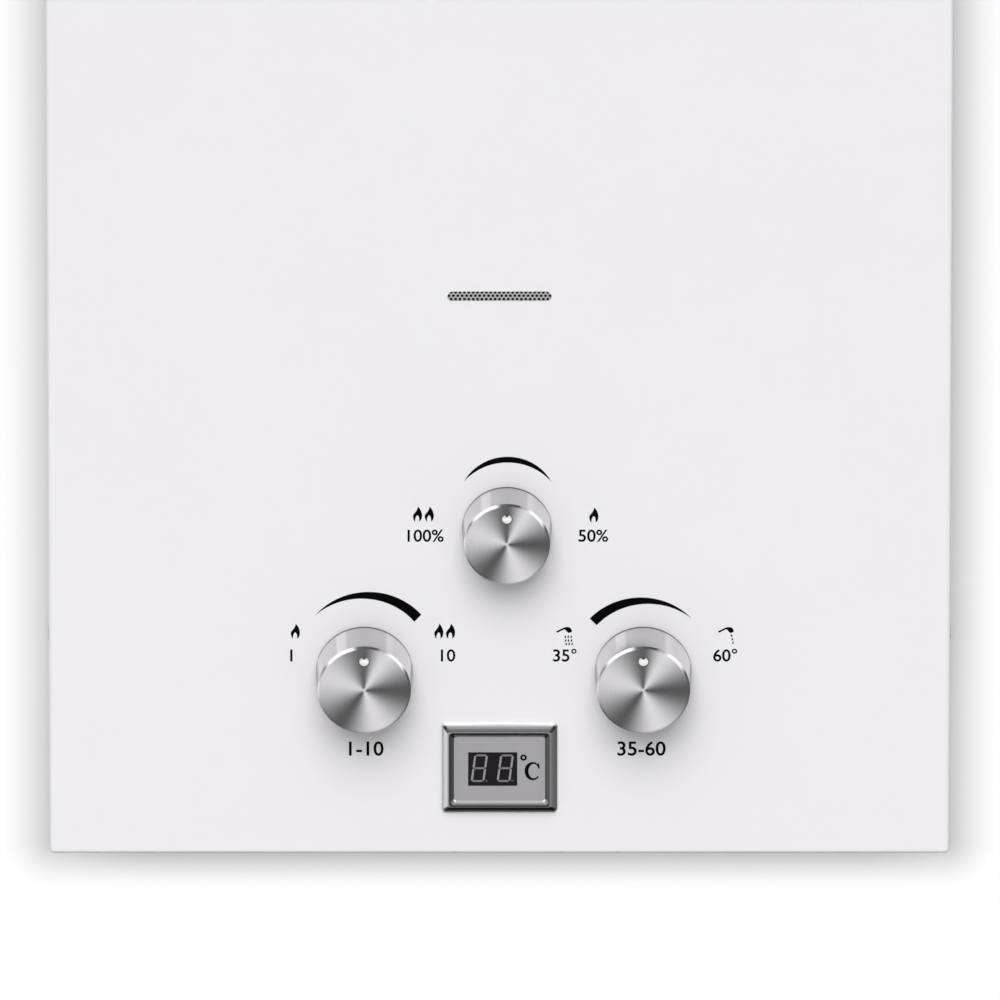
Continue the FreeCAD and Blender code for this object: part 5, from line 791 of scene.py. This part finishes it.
def digit_bars(left, low, wide, tall, lean, bar):
    """The seven bars and the point of one leaning digit, as outlines."""

    def slant(edge):
        return [(left + x + z * lean, low + z) for x, z in edge], []

    def tapered(a, b):
        return (a, 0), (a + half, -half), (b - half, -half), (b, 0), (b - half, half), (a + half, half)

    half, gap, point_gap, point_radius = bar / 2, 0.12, 0.75, 0.45
    across = tapered(half + gap, wide - half - gap)
    level = [slant([(u, z + v) for u, v in across]) for z in (half, tall / 2, tall - half)]
    upright = []
    for x in (half, wide - half):
        for low_end, high_end in ((half, tall / 2), (tall / 2, tall - half)):
            upright.append(slant([(x - v, u) for u, v in tapered(low_end + gap, high_end - gap)]))
    point = oval(wide + point_gap, point_radius, point_radius, point_radius, count=16)
    return level, upright, slant(point)


# Section of the display's frame: shares of the way in and of the way up.
FRAME_PROFILE = [
    (0, 0), (0, 0.1), (0.02, 0.25), (0.08, 0.4), (0.18, 0.57), (0.3, 0.76), (0.42, 0.92), (0.52, 1),
    (0.62, 0.99), (0.72, 0.92), (0.81, 0.81), (0.9, 0.68), (1, 0.53), (1, 0.4),
]


def frame_mesh(name, centre, outer, inner, corners, back, front):
    """A rounded bar round a rectangle: outer and inner are half sizes, and corners the radii of their corners, all
    in metres. The map's u runs from the outer edge in, and v is the bearing from straight up."""
    corner_steps = 8
    work = bmesh.new()
    chart = work.loops.layers.uv.new("across_and_bearing")
    rings, marks = [], {}
    for inset, rise in FRAME_PROFILE:
        half = [a + (b - a) * inset for a, b in zip(outer, inner)]
        radius = corners[0] + (corners[1] - corners[0]) * inset
        ring = []
        for quarter, (right, up) in enumerate(((1, 1), (1, -1), (-1, -1), (-1, 1))):
            for step in range(corner_steps + 1):
                turn = math.radians(90 * quarter + 90 * step / corner_steps)
                x = centre[0] + right * (half[0] - radius) + radius * math.sin(turn)
                z = centre[1] + up * (half[1] - radius) + radius * math.cos(turn)
                corner = work.verts.new((x, back + (front - back) * rise, z))
                marks[corner] = (inset, turn / (2 * math.pi))
                ring.append(corner)
        rings.append(ring)
    count = len(rings[0])
    faces = skin(work, zip(rings, rings[1:] + rings[:1]))
    for index, face in enumerate(faces):
        face.smooth = index < len(faces) - count
        for edge in face.edges:
            edge.smooth = edge.smooth and face.smooth
        for loop in face.loops:
            inset, bearing = marks[loop.vert]
            loop[chart].uv = (inset, 1 if not bearing and index % count == count - 1 else bearing)
    return outward_mesh(name, work)


class HEATER_OT_display(HeaterOperator, bpy.types.Operator):
    """Adds the display frame, the unlit digits and the degree mark, and finishes the plate"""

    bl_idname = "heater.display"
    bl_label = "Display"

    def execute(self, context):
        look, sizes = context.scene.heater_finishes, context.scene.heater_sizes
        low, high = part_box("display_bezel")
        lens_low, lens_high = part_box("display_lens_plate")
        ledge = 1 * MM
        centre = ((low.x + high.x) / 2, (low.z + high.z) / 2)
        outer = ((high.x - low.x) / 2, (high.z - low.z) / 2)
        inner = ((lens_high.x - lens_low.x) / 2 - ledge, (lens_high.z - lens_low.z) / 2 - ledge)
        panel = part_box("front_cover")[0].y
        mesh = frame_mesh("display_frame", centre, outer, inner, (1.5 * MM, 1.1 * MM), panel, low.y)
        chrome = plated_chrome("display_chrome", look.chrome)
        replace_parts(new_piece("display_frame", mesh, chrome), "display_bezel")
        dress(satin_lens("display_lens", look.lens), "display_lens_plate")
        dress(filled_epoxy("digit_block_epoxy", linear("1B181B"), 0.3, 0.08), "led_module")
        dress(coated_board("display_board_resist"), "display_board")
        dress(moulded_plastic("display_housing_abs", look.plastic), "display_housing")

        foot, wide, tall, lean = 29.2, 5, 10.9, 0.13
        digits = [digit_bars(left, foot, wide, tall, lean, sizes.segment_width / MM) for left in (-10.6, -1.1)]
        parts = (
            ("digit_level_bars", "757376", [bar for level, _, _ in digits for bar in level]),
            ("digit_upright_bars", "8F8D90", [bar for _, upright, _ in digits for bar in upright]),
            ("digit_points", "454346", [point for _, _, point in digits]),
        )
        for name, code, outlines in parts:
            lay_film(name, outlines, "led_module", 0.03, filled_epoxy(f"{name}_epoxy", linear(code), 0.4))

        # The degree ring and the C, whose strokes lie between two ovals, with its serif.
        ring = (oval(8.81, 38.95, 1.2, 1.2), [oval(8.81, 38.95, 0.5, 0.5)])
        serif = [(14.32, 34.6), (14.82, 34.6), (14.45, 36.75)]
        letter = (oval(12.15, 33.6, 2.95, 3.6, 52, 320) + oval(12.55, 33.6, 1.95, 2.85, 318, 52) + serif, [])
        ink = bpy.data.materials["panel_ink"]
        lay_film("degree_mark", [ring, letter], "display_lens_plate", 0.04, ink)
        return {"FINISHED"}


class HEATER_OT_works(HeaterOperator, bpy.types.Operator):
    """Finishes the valves, pipes, burner, igniter and battery box"""

    bl_idname = "heater.works"
    bl_label = "Works"

    def execute(self, context):
        look = context.scene.heater_finishes
        casting = cast_metal("valve_die_casting", linear("A3A5A8"))
        dress(casting, "gas_valve_body", "water_valve_cover", "season_valve_body", "gas_manifold")
        brass = turned_metal("fitting_brass", look.brass, 0.26)
        dress(brass, "gas_inlet_fitting", "water_inlet_fitting", "hot_outlet_fitting")
        dress(brass, "water_valve_body", "gas_injectors", "drain_valve")
        copper = rolled_sheet("exchanger_copper", look.copper, 0.32)
        dress(copper, "exchanger_jacket", "exchanger_fins", "exchanger_tube", "wrap_tube", "hot_water_pipe")
        steel = turned_metal("bright_steel", linear("C4C3C2"), 0.24, 0.08)
        dress(steel, "solenoid_plunger", "push_rod", "switch_lever", "electrode_pins", "battery_contacts")
        dress(cured_rubber("valve_rubber", linear("2A2826")), "gas_poppet", "diaphragm")
        dress(fired_ceramic("electrode_alumina"), "electrode_ceramics")
        dress(moulded_plastic("coil_bobbin_nylon", linear("19191B"), 0.4), "safety_solenoid")
        black = moulded_plastic("box_black_abs", look.plastic)
        dress(black, "microswitch", "drain_knob", "battery_box", "battery_door", "pulse_igniter")
        dress(filled_epoxy("cell_jacket_film", linear("3C4A63"), 0.3), "battery_cells")
        return {"FINISHED"}


class HEATER_OT_threads(HeaterOperator, bpy.types.Operator):
    """Cuts the pipe threads of the three fittings under the cabinet"""

    bl_idname = "heater.threads"
    bl_label = "Pipe threads"

    def execute(self, context):
        sizes = context.scene.heater_sizes
        brass = bpy.data.materials["fitting_brass"]
        lead, nut_drop, radius = 1 * MM, 12 * MM, 10.48 * MM
        reach, top = radius + sizes.thread_crest, -nut_drop - lead / 2
        for place in ("gas_inlet", "water_inlet", "hot_outlet"):
            low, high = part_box(f"{place}_fitting")
            name = f"{place}_thread"
            centre, pitch, depth = (low + high) / 2, sizes.thread_pitch, sizes.thread_depth
            new_piece(name, thread_mesh(name, centre, reach, pitch, depth, low.z + lead, top), brass)
        return {"FINISHED"}


class HEATER_OT_spring(HeaterOperator, bpy.types.Operator):
    """Winds the spring that shuts the gas poppet, at the length of its box; nothing here lets the push rod squeeze it
    """

    bl_idname = "heater.spring"
    bl_label = "Poppet spring"

    def execute(self, context):
        sizes = context.scene.heater_sizes
        low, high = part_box("poppet_spring")
        mesh = spring_mesh("poppet_coil", low, high, sizes.spring_wire, sizes.spring_turns)
        coil = new_piece("poppet_coil", mesh, bpy.data.materials["bright_steel"])
        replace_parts(coil, "poppet_spring")
        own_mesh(coil)
        return {"FINISHED"}


class HEATER_OT_handle(HeaterOperator, bpy.types.Operator):
    """Finishes the carrying handle"""

    bl_idname = "heater.handle"
    bl_label = "Carrying handle"

    def execute(self, context):
        look = context.scene.heater_finishes
        dress(rolled_sheet("handle_plated_steel", linear("BDBEC1"), 0.22, (10, 1, 1), 0.8), "handle_bail")
        dress(cured_rubber("grip_rubber", look.rubber), "handle_grip")
        return {"FINISHED"}


def backdrop_finish(name, level, share, core, reach, power):
    """Pale matt backdrop: real light and shadow near the heater, plain white further off, and clear from behind.
    core is the box, as centre and half size, round which the white grows, and share the matt part inside it."""
    material = bpy.data.materials.new(name)
    material.use_nodes = True
    tree = material.node_tree
    tree.nodes.clear()
    centre, half_size = core
    place = add(tree, "NewGeometry").node.outputs
    outside = place["Position"]
    steps = ("SUBTRACT", centre), ("ABSOLUTE", (0, 0, 0)), ("SUBTRACT", half_size), ("MAXIMUM", (0, 0, 0))
    for operation, other in steps:
        outside = add(tree, "VectorMath", [outside, other], operation=operation)
    distance = add(tree, "VectorMath", [outside], "Value", operation="LENGTH")
    left = add(tree, "MapRange", [distance, 0, reach, 1, 0])
    eased = add(tree, "Math", [left, power], operation="POWER")
    plain_share = add(tree, "MapRange", [eased, 0, 1, 1, 1 - share])
    ray = add(tree, "LightPath").node.outputs
    seen = add(tree, "Math", [ray["Is Camera Ray"], ray["Is Glossy Ray"]], operation="ADD")
    seen = add(tree, "Math", [seen, ray["Is Transmission Ray"]], operation="ADD", use_clamp=True)
    to_plain = add(tree, "Math", [seen, plain_share], operation="MULTIPLY")
    matt = add(tree, "BsdfDiffuse", {"Color": shade(level)})
    plain = add(tree, "Emission", {"Color": (1, 1, 1, 1), "Strength": 1})
    front = add(tree, "MixShader", [to_plain, matt, plain])
    clear = add(tree, "BsdfTransparent")
    add(tree, "OutputMaterial", {"Surface": add(tree, "MixShader", [place["Backfacing"], front, clear])})
    return material


def backdrop(name, corners, material, hidden):
    """A flat sheet of the stage, which is hidden from some kinds of rays."""
    mesh = bpy.data.meshes.new(name)
    mesh.from_pydata(corners, [], [(0, 1, 2, 3)])
    mesh.materials.append(material)
    piece = put(name, mesh)
    for kind in hidden:
        setattr(piece, f"visible_{kind}", False)


def lamp(name, strength, side, height, spread):
    """A distant lamp: side and height are its bearing from straight in front, and spread how wide it looks."""
    data = bpy.data.lights.new(name, "SUN")
    data.energy = strength
    data.angle = math.radians(spread)
    made = put(name, data)
    side, height = math.radians(side), math.radians(height)
    aim(made, Vector((math.sin(side) * math.cos(height), -math.cos(side) * math.cos(height), math.sin(height))))
    made.visible_glossy = False


class HEATER_OT_stage(HeaterOperator, bpy.types.Operator):
    """Sets the wall, the floor, the lamps and the camera"""

    bl_idname = "heater.stage"
    bl_label = "Stage"

    def execute(self, context):
        stage = context.scene.heater_stage
        half_width, wide = 0.165, 8
        wall_y, floor_z = 0.0006, -stage.floor_drop
        behind = ((0, wall_y, 0.2067), (half_width, 1, 0.2633))
        beneath = ((0, -0.07, 0), (half_width, 0.08, 1))
        backdrop(
            "wall",
            [(-wide, wall_y, floor_z), (wide, wall_y, floor_z), (wide, wall_y, wide), (-wide, wall_y, wide)],
            backdrop_finish("wall_matt_white", level=0.88, share=1, core=behind, reach=0.0195, power=1.3),
            ("diffuse", "glossy", "transmission", "shadow"),
        )
        backdrop(
            "floor",
            [(-wide, -wide, floor_z), (wide, -wide, floor_z), (wide, wide, floor_z), (-wide, wide, floor_z)],
            backdrop_finish("floor_matt_white", level=0.7, share=0.5, core=beneath, reach=0.3, power=1.6),
            ("glossy",),
        )
        lamp("key_lamp", stage.key, side=-2, height=45, spread=38)
        lamp("front_lamp", stage.fill, side=-1.5, height=25, spread=10)

        world = bpy.data.worlds.new("studio")
        context.scene.world = world
        world.use_nodes = True
        tree = world.node_tree
        tree.nodes.clear()
        x, _, z = add(tree, "SeparateXYZ", [add(tree, "TexCoord", out="Generated")]).node.outputs
        height = add(tree, "MapRange", [z, -1])
        below = [(0, 0.25), (0.14, 0.4), (0.26, 0.98), (0.4, 0.96)]
        above = [(0.5, 0.42), (0.78, 0.6), (0.86, 0.72), (0.94, 1)]
        dome = stops(add(tree, "ValToRGB", [height]), below + above)
        side = add(tree, "MapRange", [x, -1, 1, 1.25, 0.8])
        light = add(tree, "VectorMath", {0: dome, "Scale": side}, operation="SCALE")
        add(tree, "OutputWorld", {"Surface": add(tree, "Background", {"Color": light, "Strength": stage.world})})

        context.scene.view_settings.view_transform = "Standard"
        data = bpy.data.cameras.new("camera")
        camera = put("camera", data)
        context.scene.camera = camera
        far, half_view = 13.08, 0.1827  # metres to the target, and half of what the view spans there
        data.sensor_width = 36
        data.lens = data.sensor_width / 2 * far / half_view
        data.clip_end = 100
        target = Vector((0.00018, -0.15, 0.1401))
        away = Vector((0, -math.cos(stage.elevation), math.sin(stage.elevation)))
        camera.location = target + away * far
        aim(camera, away)
        return {"FINISHED"}


PIECES = (
    HEATER_OT_cabinet,
    HEATER_OT_knobs,
    HEATER_OT_arcs,
    HEATER_OT_marks,
    HEATER_OT_numerals,
    HEATER_OT_display,
    HEATER_OT_works,
    HEATER_OT_threads,
    HEATER_OT_spring,
    HEATER_OT_handle,
    HEATER_OT_stage,
)


class HEATER_PT_pieces(bpy.types.Panel):
    """Lists the heater's pieces and settings"""

    bl_label = "Water heater"
    bl_idname = "HEATER_PT_pieces"
    bl_space_type = "VIEW_3D"
    bl_region_type = "UI"
    bl_category = "Heater"

    def draw(self, context):
        column = self.layout.column()
        for piece in PIECES:
            column.operator(piece.bl_idname)
        for group in (getattr(context.scene, key) for key in SETTINGS):
            for name in group.bl_rna.properties.keys()[2:]:
                column.prop(group, name)


SETTINGS = {"heater_finishes": HeaterFinishes, "heater_sizes": HeaterSizes, "heater_stage": HeaterStage}
CLASSES = (*SETTINGS.values(), *PIECES, HEATER_PT_pieces)


def register():
    for made in CLASSES:
        bpy.utils.register_class(made)
    for key, group in SETTINGS.items():
        setattr(bpy.types.Scene, key, PointerProperty(type=group))


def unregister():
    for key in SETTINGS:
        delattr(bpy.types.Scene, key)
    for made in reversed(CLASSES):
        bpy.utils.unregister_class(made)


def main():
    register()
    bpy.ops.heater.cabinet()
    bpy.ops.heater.knobs()
    bpy.ops.heater.arcs()
    bpy.ops.heater.marks()
    bpy.ops.heater.numerals()
    bpy.ops.heater.display()
    bpy.ops.heater.works()
    bpy.ops.heater.threads()
    bpy.ops.heater.spring()
    bpy.ops.heater.handle()
    bpy.ops.heater.stage()


if __name__ == "__main__":
    main()
